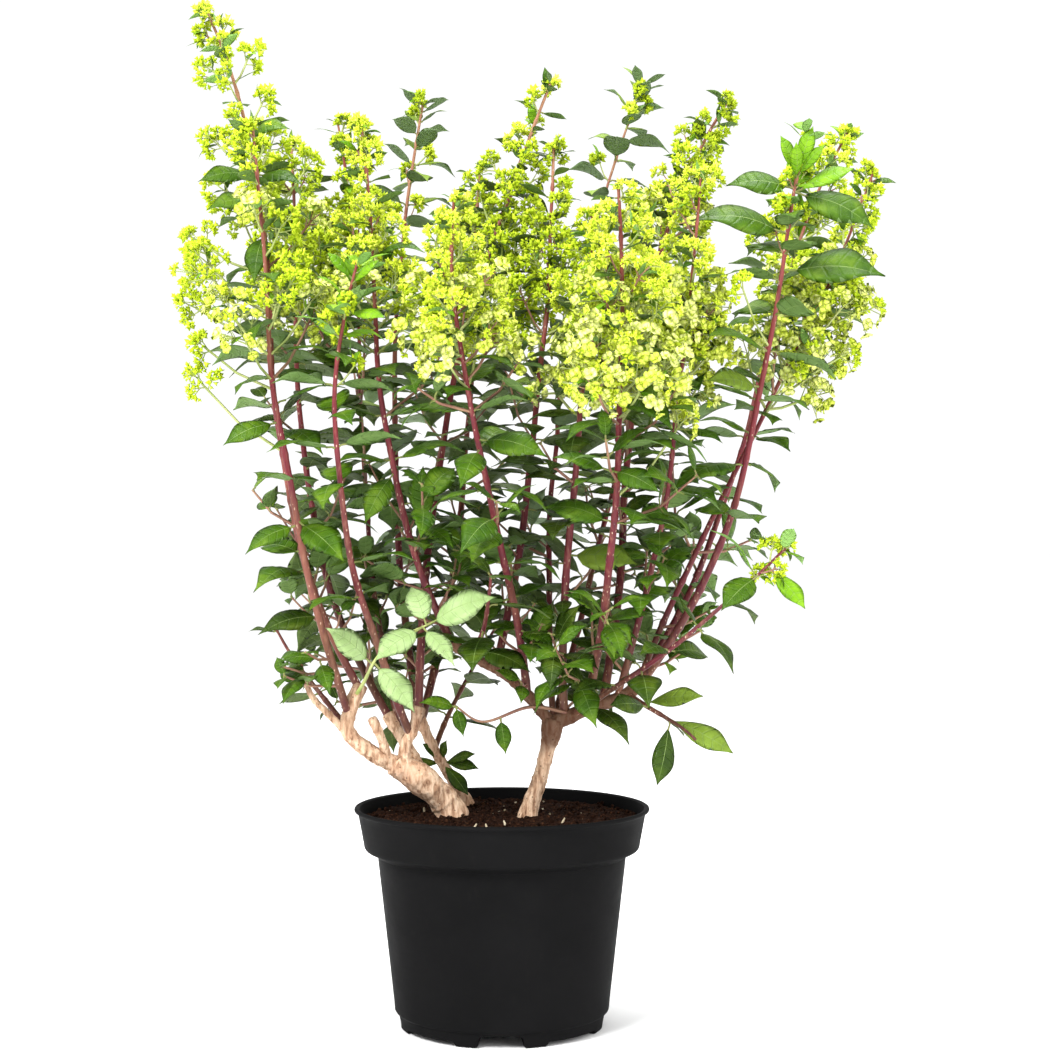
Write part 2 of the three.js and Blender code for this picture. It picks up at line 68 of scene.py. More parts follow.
# Trunks and old wood: radii at both ends, knob where it was pruned, flare of the foot, what it springs from
# and how far along, and the points of its path
woodFields = ["radii", "knob", "flare", "from", "at", "path"]
woodRows = {
    "trunk_left": [[0.0165, 0.0135], [0.72, 0.0025], 0.004, None, 0, [
        [-0.038, 0.007, 0.166], [-0.045, 0.004, 0.186], [-0.066, -0.006, 0.212], [-0.094, -0.014, 0.231]]],
    "trunk_back": [[0.007, 0.0052], [0.97, 0.0015], 0.003, None, 0, [
        [-0.026, 0.08, 0.168], [-0.042, 0.07, 0.2], [-0.064, 0.058, 0.238], [-0.08, 0.048, 0.278]]],
    "trunk_right": [[0.0085, 0.0075], [0.96, 0.004], 0.0045, None, 0, [
        [0.019, 0.006, 0.166], [0.025, 0.004, 0.19], [0.037, 0.002, 0.228], [0.046, 0.0, 0.268]]],
    "limb_left": [[0.0095, 0.0062], [0.97, 0.0016], 0, "trunk_left", 0.97, [
        [-0.112, -0.022, 0.24], [-0.134, -0.03, 0.262], [-0.13, -0.026, 0.284], [-0.123, -0.022, 0.3]]],
    "limb_mid": [[0.0075, 0.0056], [0.96, 0.0016], 0, "trunk_left", 0.62, [
        [-0.076, 0.014, 0.228], [-0.09, 0.024, 0.25], [-0.103, 0.027, 0.27]]],
    "limb_inner": [[0.0075, 0.0052], [0.95, 0.0015], 0, "trunk_left", 0.9, [
        [-0.084, -0.016, 0.248], [-0.077, -0.014, 0.262], [-0.072, -0.012, 0.28]]],
    "limb_right": [[0.0085, 0.0062], [0.96, 0.0018], 0, "trunk_right", 0.97, [
        [0.062, -0.001, 0.272], [0.082, -0.004, 0.281], [0.106, -0.002, 0.288], [0.126, 0.002, 0.303]]],
    "limb_crossing": [[0.0065, 0.0046], [0.96, 0.0014], 0, "trunk_right", 0.95, [
        [0.028, -0.004, 0.284], [0.006, -0.006, 0.306], [-0.022, -0.01, 0.322], [-0.046, -0.014, 0.337]]],
    "stub_left": [[0.0044, 0.0026], [0.5, 0.0], 0, "limb_left", 0.45, [
        [-0.15, -0.034, 0.276], [-0.164, -0.037, 0.292], [-0.177, -0.04, 0.327]]],
    "stub_pruned": [[0.0054, 0.0044], [0.9, 0.0008], 0, "limb_left", 0.08, [
        [-0.106, -0.03, 0.258], [-0.112, -0.036, 0.272]]],
}

# Shoots: where each springs from and how far along, its tip, how far it bows in X and Y at a third and two
# thirds of its way, length of its panicle and of the longest spray, share of open florets, where its leaves
# start, and the tones of its leaves and buds
shootFields = ["from", "at", "tip", "lowBow", "highBow", "bloom", "reach", "florets", "start", "leaf", "bud"]
# The dark leaf tone of the shoots at the back and inside the crown is painted shade
# The olive bud tone is painted shade, a darker copy of the lime buds for the shoots at the back
shootRows = {
    "tall_left": ["limb_left", 0.97, [-0.259, -0.02, 0.891], [-0.07, -0.03], [0.05, -0.01],
                  0.3, 0.104, 0.1, 0.14, "mid", "lime"],
    "left_front": ["limb_left", 0.72, [-0.209, -0.085, 0.776], [-0.025, -0.065], [-0.01, -0.035],
                   0.225, 0.088, 0.4, 0.16, "mid", "lime"],
    "left_back": ["limb_mid", 0.93, [-0.201, 0.125, 0.804], [-0.08, -0.005], [-0.02, 0.035],
                  0.2, 0.084, 0.1, 0.07, "dark", "olive"],
    "bright_front": ["limb_inner", 0.55, [-0.116, -0.14, 0.654], [-0.04, -0.01], [-0.05, -0.04],
                     0, 0, 0, boughShare, "mid", "lime"],
    "left_mid": ["limb_mid", 0.7, [-0.148, 0.03, 0.802], [-0.03, 0.03], [0.015, 0.01],
                 0.19, 0.07, 0.1, 0.05, "dark", "olive"],
    "crossing": ["limb_crossing", 0.97, [-0.119, -0.075, 0.78], [-0.05, -0.045], [-0.005, -0.015],
                 0.205, 0.072, 0.2, 0.04, "mid", "yellow"],
    "leaning": ["limb_inner", 0.95, [0.045, 0.095, 0.852], [-0.04, -0.02], [-0.04, 0.035],
                0.24, 0.074, 0.0, 0.06, "dark", "olive"],
    "back_left": ["trunk_back", 0.97, [-0.079, 0.19, 0.852], [-0.03, 0.005], [-0.035, 0.045],
                  0, 0, 0, 0.08, "soft", "olive"],
    "back_mid": ["trunk_back", 0.86, [-0.024, 0.22, 0.796], [0.03, 0.035], [0.005, 0.065],
                 0.22, 0.08, 0.1, 0.08, "dark", "olive"],
    "front_left": ["limb_crossing", 0.3, [-0.036, -0.175, 0.7], [0.005, 0.0], [-0.035, -0.05],
                   0.175, 0.092, 0.5, 0.06, "mid", "yellow"],
    "mid": ["limb_crossing", 0.6, [0.046, 0.04, 0.784], [0.015, 0.025], [0.015, 0.0],
            0.22, 0.068, 0.1, 0.06, "dark", "olive"],
    "back_high": ["trunk_right", 0.98, [0.135, 0.18, 0.868], [-0.045, 0.0], [-0.05, 0.045],
                  0, 0, 0, boughShare, "soft", "olive"],
    "centre": ["limb_right", 0.12, [0.077, -0.075, 0.706], [-0.02, 0.005], [0.015, -0.01],
               0.185, 0.068, 0.4, 0.08, "dark", "lime"],
    "front_right": ["limb_right", 0.34, [0.094, -0.19, 0.708], [0.025, -0.01], [0.015, -0.055],
                    0.205, 0.098, 0.6, 0.1, "mid", "yellow"],
    "right_back": ["limb_right", 0.52, [0.214, 0.14, 0.844], [0.0, 0.02], [-0.08, 0.025],
                   0.19, 0.072, 0.1, 0.12, "dark", "olive"],
    "right_inner": ["limb_right", 0.66, [0.167, -0.1, 0.732], [0.025, 0.025], [0.01, -0.045],
                    0.22, 0.082, 0.6, 0.1, "mid", "yellow"],
    "right_leafy": ["limb_right", 0.97, [0.257, -0.085, 0.77], [0.065, -0.055], [0.01, -0.02],
                    0, 0, 0, boughShare, "mid", "lime"],
    "right_far": ["limb_right", 0.93, [0.328, 0.0, 0.752], [-0.015, 0.005], [0.015, -0.005],
                  0.25, 0.094, 0.9, boughShare, "mid", "lime"],
    "right_rear": ["limb_right", 0.84, [0.321, 0.09, 0.806], [0.06, 0.05], [-0.03, 0.025],
                   0.19, 0.076, 0.2, 0.14, "mid", "lime"],
    "back_right": ["trunk_right", 0.9, [0.159, 0.23, 0.776], [0.01, 0.045], [0.03, 0.075],
                   0.2, 0.084, 0.1, 0.1, "dark", "olive"],
}
# Gap between the pairs of leaves, size of the leaves, and the airy top of a panicle: its share and how much of
# it has no spray
shootChanges = {
    "tall_left": {"gap": 0.058, "airy": [0.5, 0.22]}, "left_front": {"gap": 0.056},
    "back_left": {"gap": 0.044}, "back_high": {"gap": 0.046}, "right_leafy": {"gap": 0.05, "leafSize": 1.1},
    "right_far": {"gap": 0.06, "airy": [0.45, 0.2]}, "right_rear": {"gap": 0.05, "airy": [0.8, 0.25]},
}
# Low twigs: as above, then the size of their leaves, the space between them and their tone; their dark tone is
# painted shade under the crown
twigFields = ["from", "at", "tip", "lowBow", "highBow", "size", "spacing", "leaf"]
twigRows = {
    "low_pale": ["limb_left", 0.9, [-0.062, -0.098, 0.356], [-0.006, -0.03], [-0.034, -0.012],
                 0, 0, "pale"],
    "low_left": ["limb_left", 0.6, [-0.2, 0.004, 0.348], [-0.006, 0.02], [-0.008, 0.014],
                 0.042, 0.04, "dark"],
    "low_centre": ["limb_crossing", 0.8, [-0.008, -0.096, 0.398], [0.004, -0.026], [0.004, -0.016],
                   0.056, 0.036, "dark"],
    "low_back": ["trunk_back", 0.62, [-0.002, 0.128, 0.352], [-0.004, 0.026], [-0.006, 0.012],
                 0.056, 0.042, "dark"],
    "low_right": ["limb_right", 0.78, [0.166, -0.058, 0.256], [0.004, -0.03], [0.01, -0.018],
                  0.05, 0.03, "dark"],
    "low_whip": ["limb_right", 0.2, [0.238, -0.092, 0.42], [0.006, -0.062], [0.01, -0.05],
                 0.048, 0.038, "dark"],
}
twigChanges = {"low_right": {"shape": "narrow"}, "low_whip": {"tipLeaf": "young"}}
basis = {
    "bloom": 0, "florets": 0, "start": 0, "bud": "lime", "gap": None, "leafSize": 1, "airy": [0.45, 0.225],
    "shape": "leaf", "tipLeaf": None,
}


def tableOf(fields, rows, basis, changes):
    return {name: {**basis, **dict(zip(fields, row)), **changes.get(name, {})} for name, row in rows.items()}


oldWoods = tableOf(woodFields, woodRows, {}, {})
shoots = tableOf(shootFields, shootRows, basis, shootChanges)
lowTwigs = tableOf(twigFields, twigRows, basis, twigChanges)

# How far leaves stand to the left and right at each height, narrower towards the bottom
crownSpan = {
    "height": [0.22, 0.3, 0.36, 0.42, 0.52, 0.56, 0.6],
    "left": [-0.15, -0.19, -0.2, -0.21, -0.225, -0.25, -0.292],
    "right": [0.14, 0.15, 0.19, 0.23, 0.255, 0.285, 0.334], "depth": 0.78, "corner": 0.35,
}


# Paths and directions
def unit(vector):
    return vector / np.linalg.norm(vector)


def upright(lean, towards):
    return unit(np.cross(np.cross(lean, towards), lean))


def between(first, second, angle):
    return first * math.cos(angle) + second * math.sin(angle)


def mix(pair, share):
    return pair[0] + (pair[1] - pair[0]) * min(max(share, 0), 1)


def pathOf(points):
    points = np.array(points, float)
    steps = np.linalg.norm(np.diff(points, axis=0), axis=1)
    lengths = np.concatenate([[0], np.cumsum(steps)])
    return {"points": points, "lengths": lengths, "total": lengths[-1]}


def pointAt(path, share):
    at = min(max(share, 0), 1) * path["total"]
    return np.array([np.interp(at, path["lengths"], path["points"][:, k]) for k in range(3)])


def pointsAlong(path, start, count):
    return [pointAt(path, share) for share in np.linspace(start, 1, count)]


def frameAt(path, share, step=0.01):
    along = unit(pointAt(path, share + step) - pointAt(path, share - step))
    back = unit(np.array([0, 1, 0]) - along * along[1])
    return pointAt(path, share), along, back, np.cross(back, along)


def smoothPath(places, count=60):
    p = np.array(places, float)
    p = np.vstack([2 * p[0] - p[1], p, 2 * p[-1] - p[-2]])
    found = []
    for i in range(1, len(p) - 2):
        a, b, c, d = p[i - 1:i + 3]
        gaps = [np.linalg.norm(v) ** 0.5 for v in (b - a, c - b, d - c)]
        start = ((b - a) / gaps[0] - (c - a) / (gaps[0] + gaps[1])) * gaps[1] + (c - b)
        end = ((d - c) / gaps[2] - (d - b) / (gaps[1] + gaps[2])) * gaps[1] + (c - b)
        for t in np.linspace(0, 1, count, endpoint=False):
            found.append(b + start * t + (3 * (c - b) - 2 * start - end) * t ** 2
                         + (2 * (b - c) + start + end) * t ** 3)
    return pathOf([*found, p[-2]])


wander = {"size": 0.0045, "scale": 9.0, "seed": 5}
noise.seed_set(wander["seed"])


def shootPath(row, count=120):
    foot = pointAt(woodPaths[row["from"]], row["at"])
    tip = np.array(row["tip"])
    low = foot + (tip - foot) / 3 + np.array([*row["lowBow"], 0])
    high = foot + (tip - foot) * 2 / 3 + np.array([*row["highBow"], 0])
    t = np.linspace(0, 1, count)[:, None]
    points = (1 - t) ** 3 * foot + 3 * (1 - t) ** 2 * t * low + 3 * (1 - t) * t ** 2 * high + t ** 3 * tip
    sway = np.array([noise.noise_vector(Vector(p) * wander["scale"]) for p in points]) * wander["size"]
    return pathOf(points + sway * np.sin(math.pi * t) * np.array([1, 1, 0.2]))


woodPaths = {}
for name, row in oldWoods.items():
    foot = [pointAt(woodPaths[row["from"]], row["at"])] if row["from"] else []
    woodPaths[name] = smoothPath([*foot, *row["path"]])


# Node trees: what repeats, and rods along edges
def setInputs(tree, node, inputs):
    for key, value in inputs.items():
        if isinstance(value, bpy.types.NodeSocket):
            tree.links.new(value, node.inputs[key])
        else:
            node.inputs[key].default_value = value


def addNode(tree, kind, inputs, **values):
    node = tree.nodes.new(kind)
    for key, value in values.items():
        setattr(node, key, value)
    setInputs(tree, node, inputs)
    return node


def outOf(tree, kind, inputs, output=0, **values):
    return addNode(tree, kind, inputs, **values).outputs[output]


def newTree(name, inputs):
    tree = bpy.data.node_groups.new(name, "GeometryNodeTree")
    for direction in ("OUTPUT", "INPUT"):
        tree.interface.new_socket("Geometry", in_out=direction, socket_type="NodeSocketGeometry")
    for label, kind in inputs.items():
        tree.interface.new_socket(label, in_out="INPUT", socket_type="NodeSocket" + kind)
    return tree, tree.nodes.new("NodeGroupInput").outputs


def namedValue(tree, name, kind):
    return outOf(tree, "GeometryNodeInputNamedAttribute", {"Name": name}, "Attribute", data_type=kind)


coatLabels = ["Face Material", "Back Material", "Rib Material"]


def scatterTree():
    tree, given = newTree("scatterPieces", {"Pieces": "Collection", **dict.fromkeys(coatLabels, "Material")})
    pieces = outOf(tree, "GeometryNodeCollectionInfo", {
        "Collection": given["Pieces"], "Separate Children": True, "Reset Children": True})
    turn = outOf(tree, "FunctionNodeEulerToRotation", {"Euler": namedValue(tree, "turn", "FLOAT_VECTOR")})
    placed = outOf(tree, "GeometryNodeInstanceOnPoints", {
        "Points": given["Geometry"], "Instance": pieces, "Pick Instance": True, "Rotation": turn,
        "Instance Index": namedValue(tree, "kind", "INT"), "Scale": namedValue(tree, "size", "FLOAT_VECTOR")})
    shape = outOf(tree, "GeometryNodeRealizeInstances", {"Geometry": placed})
    for index, label in enumerate(coatLabels):
        sides = {2: namedValue(tree, "part", "INT"), 3: index}
        chosen = outOf(tree, "FunctionNodeCompare", sides, data_type="INT", operation="EQUAL")
        shape = outOf(tree, "GeometryNodeSetMaterial", {
            "Geometry": shape, "Selection": chosen, "Material": given[label]})
    addNode(tree, "NodeGroupOutput", {"Geometry": shape})
    return tree


def rodTree():
    tree, given = newTree("rodsOnEdges", {"Sides": "Int", "Material": "Material"})
    curves = outOf(tree, "GeometryNodeMeshToCurve", {"Mesh": given["Geometry"]})
    profile = outOf(tree, "GeometryNodeCurvePrimitiveCircle", {"Resolution": given["Sides"], "Radius": 1.0})
    shape = outOf(tree, "GeometryNodeCurveToMesh", {
        "Curve": curves, "Profile Curve": profile, "Fill Caps": True,
        "Scale": namedValue(tree, "thick", "FLOAT")})
    shape = outOf(tree, "GeometryNodeSetShadeSmooth", {"Geometry": shape})
    shape = outOf(tree, "GeometryNodeSetMaterial", {"Geometry": shape, "Material": given["Material"]})
    addNode(tree, "NodeGroupOutput", {"Geometry": shape})
    return tree


def addObject(name, data, place=(0, 0, 0)):
    thing = bpy.data.objects.new(name, data)
    bpy.context.scene.collection.objects.link(thing)
    thing.location = place
    return thing


def objectOf(name, vertices, faces, edges=()):
    mesh = bpy.data.meshes.new(name)
    mesh.from_pydata([tuple(v) for v in vertices], list(edges), [tuple(int(k) for k in f) for f in faces])
    mesh.update()
    return addObject(name, mesh)


def addPart(vertices, faces, points, corners):
    start = len(vertices)
    vertices += list(points)
    faces += [tuple(start + c for c in face) for face in corners]


def ringFaces(rings, sides):
    faces = []
    for first in range(0, rings * sides, sides):
        for k in range(sides):
            beside = (k + 1) % sides
            faces.append([first + k, first + beside, first + sides + beside, first + sides + k])
    return faces


def dress(thing, material):
    thing.data.materials.append(material)
    thing.data.polygons.foreach_set("use_smooth", [True] * len(thing.data.polygons))


def setAttribute(mesh, name, kind, domain, values):
    field = {"FLOAT_VECTOR": "vector"}.get(kind, "value")
    mesh.attributes.new(name, kind, domain).data.foreach_set(field, np.array(values).ravel())


def runTree(thing, tree, values):
    modifier = thing.modifiers.new(tree.name, "NODES")
    modifier.node_group = tree
    for item in tree.interface.items_tree:
        if item.in_out == "INPUT" and item.name in values:
            modifier[item.identifier] = values[item.name]
    mesh = bpy.data.meshes.new_from_object(thing.evaluated_get(bpy.context.evaluated_depsgraph_get()))
    thing.modifiers.remove(modifier)
    raw = thing.data
    thing.data = mesh
    bpy.data.meshes.remove(raw)
    for name in ("turn", "size", "kind", "thick", "part"):
        if name in mesh.attributes:
            mesh.attributes.remove(mesh.attributes[name])
    return thing


def finishPiece(thing, slot, *nodes):
    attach(thing, "root")
    if nodes:
        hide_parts(*nodes)
    triangles = sum(len(p.vertices) - 2 for p in thing.data.polygons)
    print(thing.name, triangles, "triangles")


# Materials
leafVeins = 12  # rows of quilting between the side veins of a leaf


def startMaterial(name):
    material = bpy.data.materials.new(name)
    material.use_nodes = True
    tree = material.node_tree
    place = outOf(tree, "ShaderNodeTexCoord", {}, "Object")
    return material, tree, tree.nodes["Principled BSDF"], place


def ramp(tree, value, stops):
    node = addNode(tree, "ShaderNodeValToRGB", {"Fac": value})
    elements = node.color_ramp.elements
    while len(elements) < len(stops):
        elements.new(0.5)
    for element, (place, colour) in zip(elements, stops):
        element.position = place
        element.color = (*colour, 1) if len(colour) == 3 else (colour[0],) * 3 + (1,)
    return node.outputs["Color"]


def stretched(tree, place, stretch):
    return outOf(tree, "ShaderNodeMapping", {"Vector": place, "Scale": stretch})


def noiseOn(tree, place, scale, detail=3.0, stretch=(1, 1, 1)):
    return outOf(tree, "ShaderNodeTexNoise", {
        "Vector": stretched(tree, place, stretch), "Scale": scale, "Detail": detail, "Roughness": 0.6})


def cellsOn(tree, place, scale, feature="F1"):
    return outOf(tree, "ShaderNodeTexVoronoi", {"Vector": place, "Scale": scale}, "Distance", feature=feature)


def maths(tree, operation, *values):
    return outOf(tree, "ShaderNodeMath", dict(enumerate(values)), operation=operation)


def axisOf(tree, vector, axis):
    return outOf(tree, "ShaderNodeSeparateXYZ", {"Vector": vector}, axis)


def paintOver(tree, colour, paint, share):
    return outOf(tree, "ShaderNodeMix", {0: share, 6: colour, 7: (*paint, 1)}, 2, data_type="RGBA")


# Paint laid over a colour as a pattern runs from clear to full
def veil(tree, colour, paint, pattern, clear, full, amount):
    return paintOver(tree, colour, paint, ramp(tree, pattern, sorted([(clear, (0.0,)), (full, (amount,))])))


def bumpOn(tree, height, distance, strength=1.0, below=None):
    inputs = {"Height": height, "Distance": distance, "Strength": strength}
    if below is not None:
        inputs["Normal"] = below
    return outOf(tree, "ShaderNodeBump", inputs)


def finishMaterial(tree, shader, colour, normal, roughness, shine):
    setInputs(tree, shader, {
        "Base Color": colour, "Normal": normal, "Roughness": roughness, "Specular IOR Level": shine})


leafNetting = 0.35  # how far the net of veins stands out


def leafMaterial(name, colours, vein, gloss=0.38, netting=leafNetting):
    material, tree, shader, place = startMaterial(name)
    colour = ramp(tree, noiseOn(tree, place, 45.0), list(zip((0.3, 0.52, 0.75), colours)))
    blade = axisOf(tree, outOf(tree, "ShaderNodeAttribute", {}, "Vector", attribute_name="blade"), "X")
    fromVein = maths(tree, "PINGPONG", maths(tree, "MULTIPLY", blade, leafVeins / 2), 0.5)
    veins = ramp(tree, fromVein, [(0.01, (1.0,)), (0.14, (0.0,))])
    colour = veil(tree, colour, vein, fromVein, 0.1, 0.01, 0.17)
    net = ramp(tree, cellsOn(tree, place, 420.0, "DISTANCE_TO_EDGE"), [(0.0, (0.0,)), (0.18, (1.0,))])
    sunk = maths(tree, "SUBTRACT", 1.0, veins)
    normal = bumpOn(tree, net, 0.0004, netting, bumpOn(tree, sunk, 0.0009, 0.7))
    rough = ramp(tree, noiseOn(tree, place, 120.0), [(0.3, (gloss - 0.06,)), (0.7, (gloss + 0.1,))])
    finishMaterial(tree, shader, colour, normal, rough, 0.14)
    return material


# Plain finishes: scale and detail of the patches of colour, pits with their stretch, how deep they are
grains = {
    "bud": {
        "patches": [260.0, 2.0], "stops": [0.32, 0.5, 0.68], "pits": [1400.0, 2.0], "depth": [0.0004, 0.5],
        "gloss": 0.5, "shine": 0.12,
    },
    "stalk": {
        "patches": [40.0, 3.0], "stops": [0.35, 0.65], "pits": [900.0, 3.0, (1, 1, 0.25)],
        "depth": [0.0003, 0.4], "gloss": 0.5, "shine": 0.2,
    },
    "peat": {
        "patches": [300.0, 5.0], "stops": [0.35, 0.55, 0.72], "pits": [700.0, 6.0], "depth": [0.0012, 0.9],
        "gloss": 0.95, "shine": 0.05,
    },
}
grains["petal"] = {**grains["bud"], "gloss": 0.6}
finishes = {
    "leafRib": ["stalk", (0.15, 0.24, 0.06), (0.24, 0.33, 0.1)],
    "petioleSkin": ["stalk", (0.17, 0.22, 0.05), (0.25, 0.25, 0.09)],
    "stalkGreenSkin": ["stalk", (0.34, 0.42, 0.12), (0.46, 0.5, 0.2)],
    "stalkPinkSkin": ["stalk", (0.26, 0.12, 0.09), (0.38, 0.22, 0.14)],
    "paleRoot": ["stalk", (0.42, 0.34, 0.22), (0.6, 0.52, 0.38)],
    "buds_lime": ["bud", (0.32, 0.45, 0.008), (0.54, 0.69, 0.02), (0.74, 0.85, 0.085)],
    "buds_yellow": ["bud", (0.43, 0.54, 0.016), (0.67, 0.78, 0.05), (0.82, 0.89, 0.16)],
    # olive buds: painted shade, a darker copy of the lime buds
    "buds_olive": ["bud", (0.25, 0.35, 0.008), (0.42, 0.54, 0.016), (0.6, 0.72, 0.05)],
    # The darker bud heart colour is painted shade in the sunk top of each bud, between its lobes
    "budHeart": ["bud", (0.17, 0.28, 0.004), (0.34, 0.47, 0.01), (0.5, 0.62, 0.02)],
    "florets_cream": ["petal", (0.72, 0.81, 0.16), (0.84, 0.91, 0.27), (0.92, 0.96, 0.4)],
    "florets_lime": ["petal", (0.56, 0.69, 0.05), (0.73, 0.84, 0.11), (0.85, 0.92, 0.2)],
    "darkPeat": ["peat", (0.006, 0.0025, 0.0015), (0.02, 0.008, 0.0045), (0.065, 0.028, 0.014)],
    "paleGrain": ["peat", (0.25, 0.2, 0.13), (0.42, 0.36, 0.26), (0.6, 0.55, 0.42)],
}


def grainMaterial(name, kind, *colours):
    look = grains[kind]
    material, tree, shader, place = startMaterial(name)
    colour = ramp(tree, noiseOn(tree, place, *look["patches"]), list(zip(look["stops"], colours)))
    normal = bumpOn(tree, noiseOn(tree, place, *look["pits"]), *look["depth"])
    finishMaterial(tree, shader, colour, normal, look["gloss"], look["shine"])
    return material


def shootMaterial():
    material, tree, shader, place = startMaterial("redShootSkin")
    drift = maths(tree, "MULTIPLY_ADD", noiseOn(tree, place, 14.0), 0.4, axisOf(tree, place, "Z"))
    colour = ramp(tree, drift, [
        (0.46, (0.1, 0.04, 0.024)), (0.56, (0.12, 0.018, 0.026)), (0.74, (0.2, 0.026, 0.036)),
        (0.92, (0.26, 0.06, 0.05)), (1.0, (0.38, 0.18, 0.1))])
    streaks = noiseOn(tree, place, 300.0, 3.0, (1, 1, 0.06))
    colour = veil(tree, colour, (0.28, 0.125, 0.07), noiseOn(tree, place, 9.0, 1.0), 0.52, 0.66, 0.5)
    colour = veil(tree, colour, (0.4, 0.2, 0.13), streaks, 0.52, 0.78, 0.5)
    colour = veil(tree, colour, (0.085, 0.022, 0.034), streaks, 0.46, 0.28, 0.65)
    dots = cellsOn(tree, stretched(tree, place, (1, 1, 0.42)), 300.0)
    pores = ramp(tree, dots, [(0.13, (0.9,)), (0.2, (0.0,))])
    colour = paintOver(tree, colour, (0.58, 0.4, 0.29), pores)
    normal = bumpOn(tree, pores, 0.0004, 0.6, bumpOn(tree, streaks, 0.0005, 0.5))
    finishMaterial(tree, shader, colour, normal, 0.45, 0.25)
    return material


def barkMaterial():
    material, tree, shader, place = startMaterial("oldBark")
    fibres = noiseOn(tree, place, 260.0, 5.0, (1, 1, 0.22))
    stains = noiseOn(tree, place, 60.0, 5.0)
    colour = ramp(tree, fibres, [
        (0.32, (0.16, 0.08, 0.045)), (0.43, (0.44, 0.26, 0.16)), (0.56, (0.74, 0.52, 0.36)),
        (0.72, (0.9, 0.7, 0.52))])
    colour = veil(tree, colour, (0.12, 0.052, 0.03), stains, 0.61, 0.72, 0.7)
    colour = veil(tree, colour, (0.58, 0.32, 0.2), noiseOn(tree, place, 24.0, 2.0), 0.5, 0.7, 0.45)
    height = maths(tree, "MULTIPLY_ADD", axisOf(tree, place, "X"), 0.3, axisOf(tree, place, "Z"))
    upper = maths(tree, "MULTIPLY_ADD", noiseOn(tree, place, 40.0), 0.1, height)  # darker towards the top
    colour = veil(tree, colour, (0.105, 0.042, 0.024), upper, 0.285, 0.325, 0.88)
    colour = veil(tree, colour, (0.05, 0.03, 0.02), cellsOn(tree, place, 190.0), 0.17, 0.08, 0.8)
    normal = bumpOn(tree, fibres, 0.002, 0.9, bumpOn(tree, stains, 0.003, 0.5))
    finishMaterial(tree, shader, colour, normal, 0.82, 0.12)
    return material


# Leaf, bract, floret and bud tuft: each lies along +X with its upper side up
def bladeGrid(rows, columns, surface, ribs=()):
    upper, lower, vertices, along = {}, {}, [], []
    for i in range(rows + 1):
        for j in range(len(columns)):
            top, bottom = surface(i, columns[j])
            upper[i, j] = lower[i, j] = len(vertices)
            vertices.append(top)
            along.append((i / rows, columns[j], 0))
            if 0 < i < rows and 0 < j < len(columns) - 1:
                lower[i, j] = len(vertices)
                vertices.append(bottom)
                along.append(along[-1])
    faces, parts = [], []
    for i in range(rows):
        for j in range(len(columns) - 1):
            corners = [(i, j), (i + 1, j), (i + 1, j + 1), (i, j + 1)]
            faces += [[upper[c] for c in corners], [lower[c] for c in reversed(corners)]]
            parts += [2, 2] if j in ribs else [0, 1]
    return vertices, faces, parts, along


def outline(t, widest, base, acumen):
    first = (t / widest) ** base
    last = ((1 - t) / (1 - widest)) ** (acumen if t > widest else base * (1 - widest) / widest)
    return first * last


def leafForm(shape):
    rows = shape["rows"]

    def surface(i, u):
        t = (i / rows) ** shape["crowding"]
        width = shape["width"] * max(outline(t, shape["widest"], shape["base"], shape["point"]), 0.03)
        width *= 1 - shape["acumen"] * t ** 8
        tooth = 1 + (shape["tooth"] if i % 2 else -shape["tooth"]) * (abs(u) > 0.9)
        y = u * width * tooth
        x = t + shape["rake"] * abs(u) ** 1.3 * math.sin(math.pi * t) ** 0.7 * (1 - t)
        swell = (1 - (2 * min(abs(u), 1) - 1) ** 2) * width / shape["width"]
        quilt = shape["quilt"] * (1 if i % 2 else -1) * swell
        arch = shape["arch"] * math.sin(math.pi * t) - shape["droop"] * t ** shape["curl"]
        z = arch + shape["fold"] * abs(y) - shape["dome"] * y * y / shape["width"] + quilt
        z += shape["wave"] * abs(u) ** 2 * math.sin(9 * t + shape["phase"] + (2 if u > 0 else 0))
        turned = shape["twist"] * t
        y, z = y * math.cos(turned) - z * math.sin(turned) * 0.2, z + y * math.sin(turned)
        return (x, y, z), (x, y, z - shape["thick"])

    return bladeGrid(rows, shape["columns"], surface, shape["ribs"])


# Radius and height of the tip of a bud's lobe, the hollow beside it and the inner ring, and where the bud ends
budShape = {"tip": (0.95, 0.75), "hollow": (0.6, 0.1), "inner": (0.42, 0.42), "top": 0.3, "bottom": -1.1}


def lobedBud(turn, tilt, lobes=3):
    rim = []
    for k in range(2 * lobes):
        radius, height = budShape["hollow" if k % 2 else "tip"]
        rim.append((radius, k * math.pi / lobes, height))
    inner = [(budShape["inner"][0], 2 * k * math.pi / lobes, budShape["inner"][1]) for k in range(lobes)]
    vertices = [(r * math.cos(a + turn), r * math.sin(a + turn), z) for r, a, z in rim + inner]
    vertices += [(0, 0, budShape["top"]), (0, 0, budShape["bottom"])]
    top, bottom = 3 * lobes, 3 * lobes + 1
    faces = [((k + 1) % (2 * lobes), k, bottom) for k in range(2 * lobes)]
    parts = [0] * len(faces)
    for k in range(lobes):
        before, lobe, after = (2 * k - 1) % (2 * lobes), 2 * k, 2 * k + 1
        mid, other = 2 * lobes + k, 2 * lobes + (k + 1) % lobes
        faces += [(before, lobe, mid), (lobe, after, mid), (after, other, mid), (mid, other, top)]
        parts += [0, 0, 1, 1]
    lean = Matrix.Rotation(tilt, 3, "X")
    return [lean @ Vector(v) for v in vertices], faces, parts


tuft = {"buds": 6, "spread": 0.85, "reach": 0.88, "away": [0.55, 1.2], "size": 0.5, "sizes": [0.7, 1.25]}


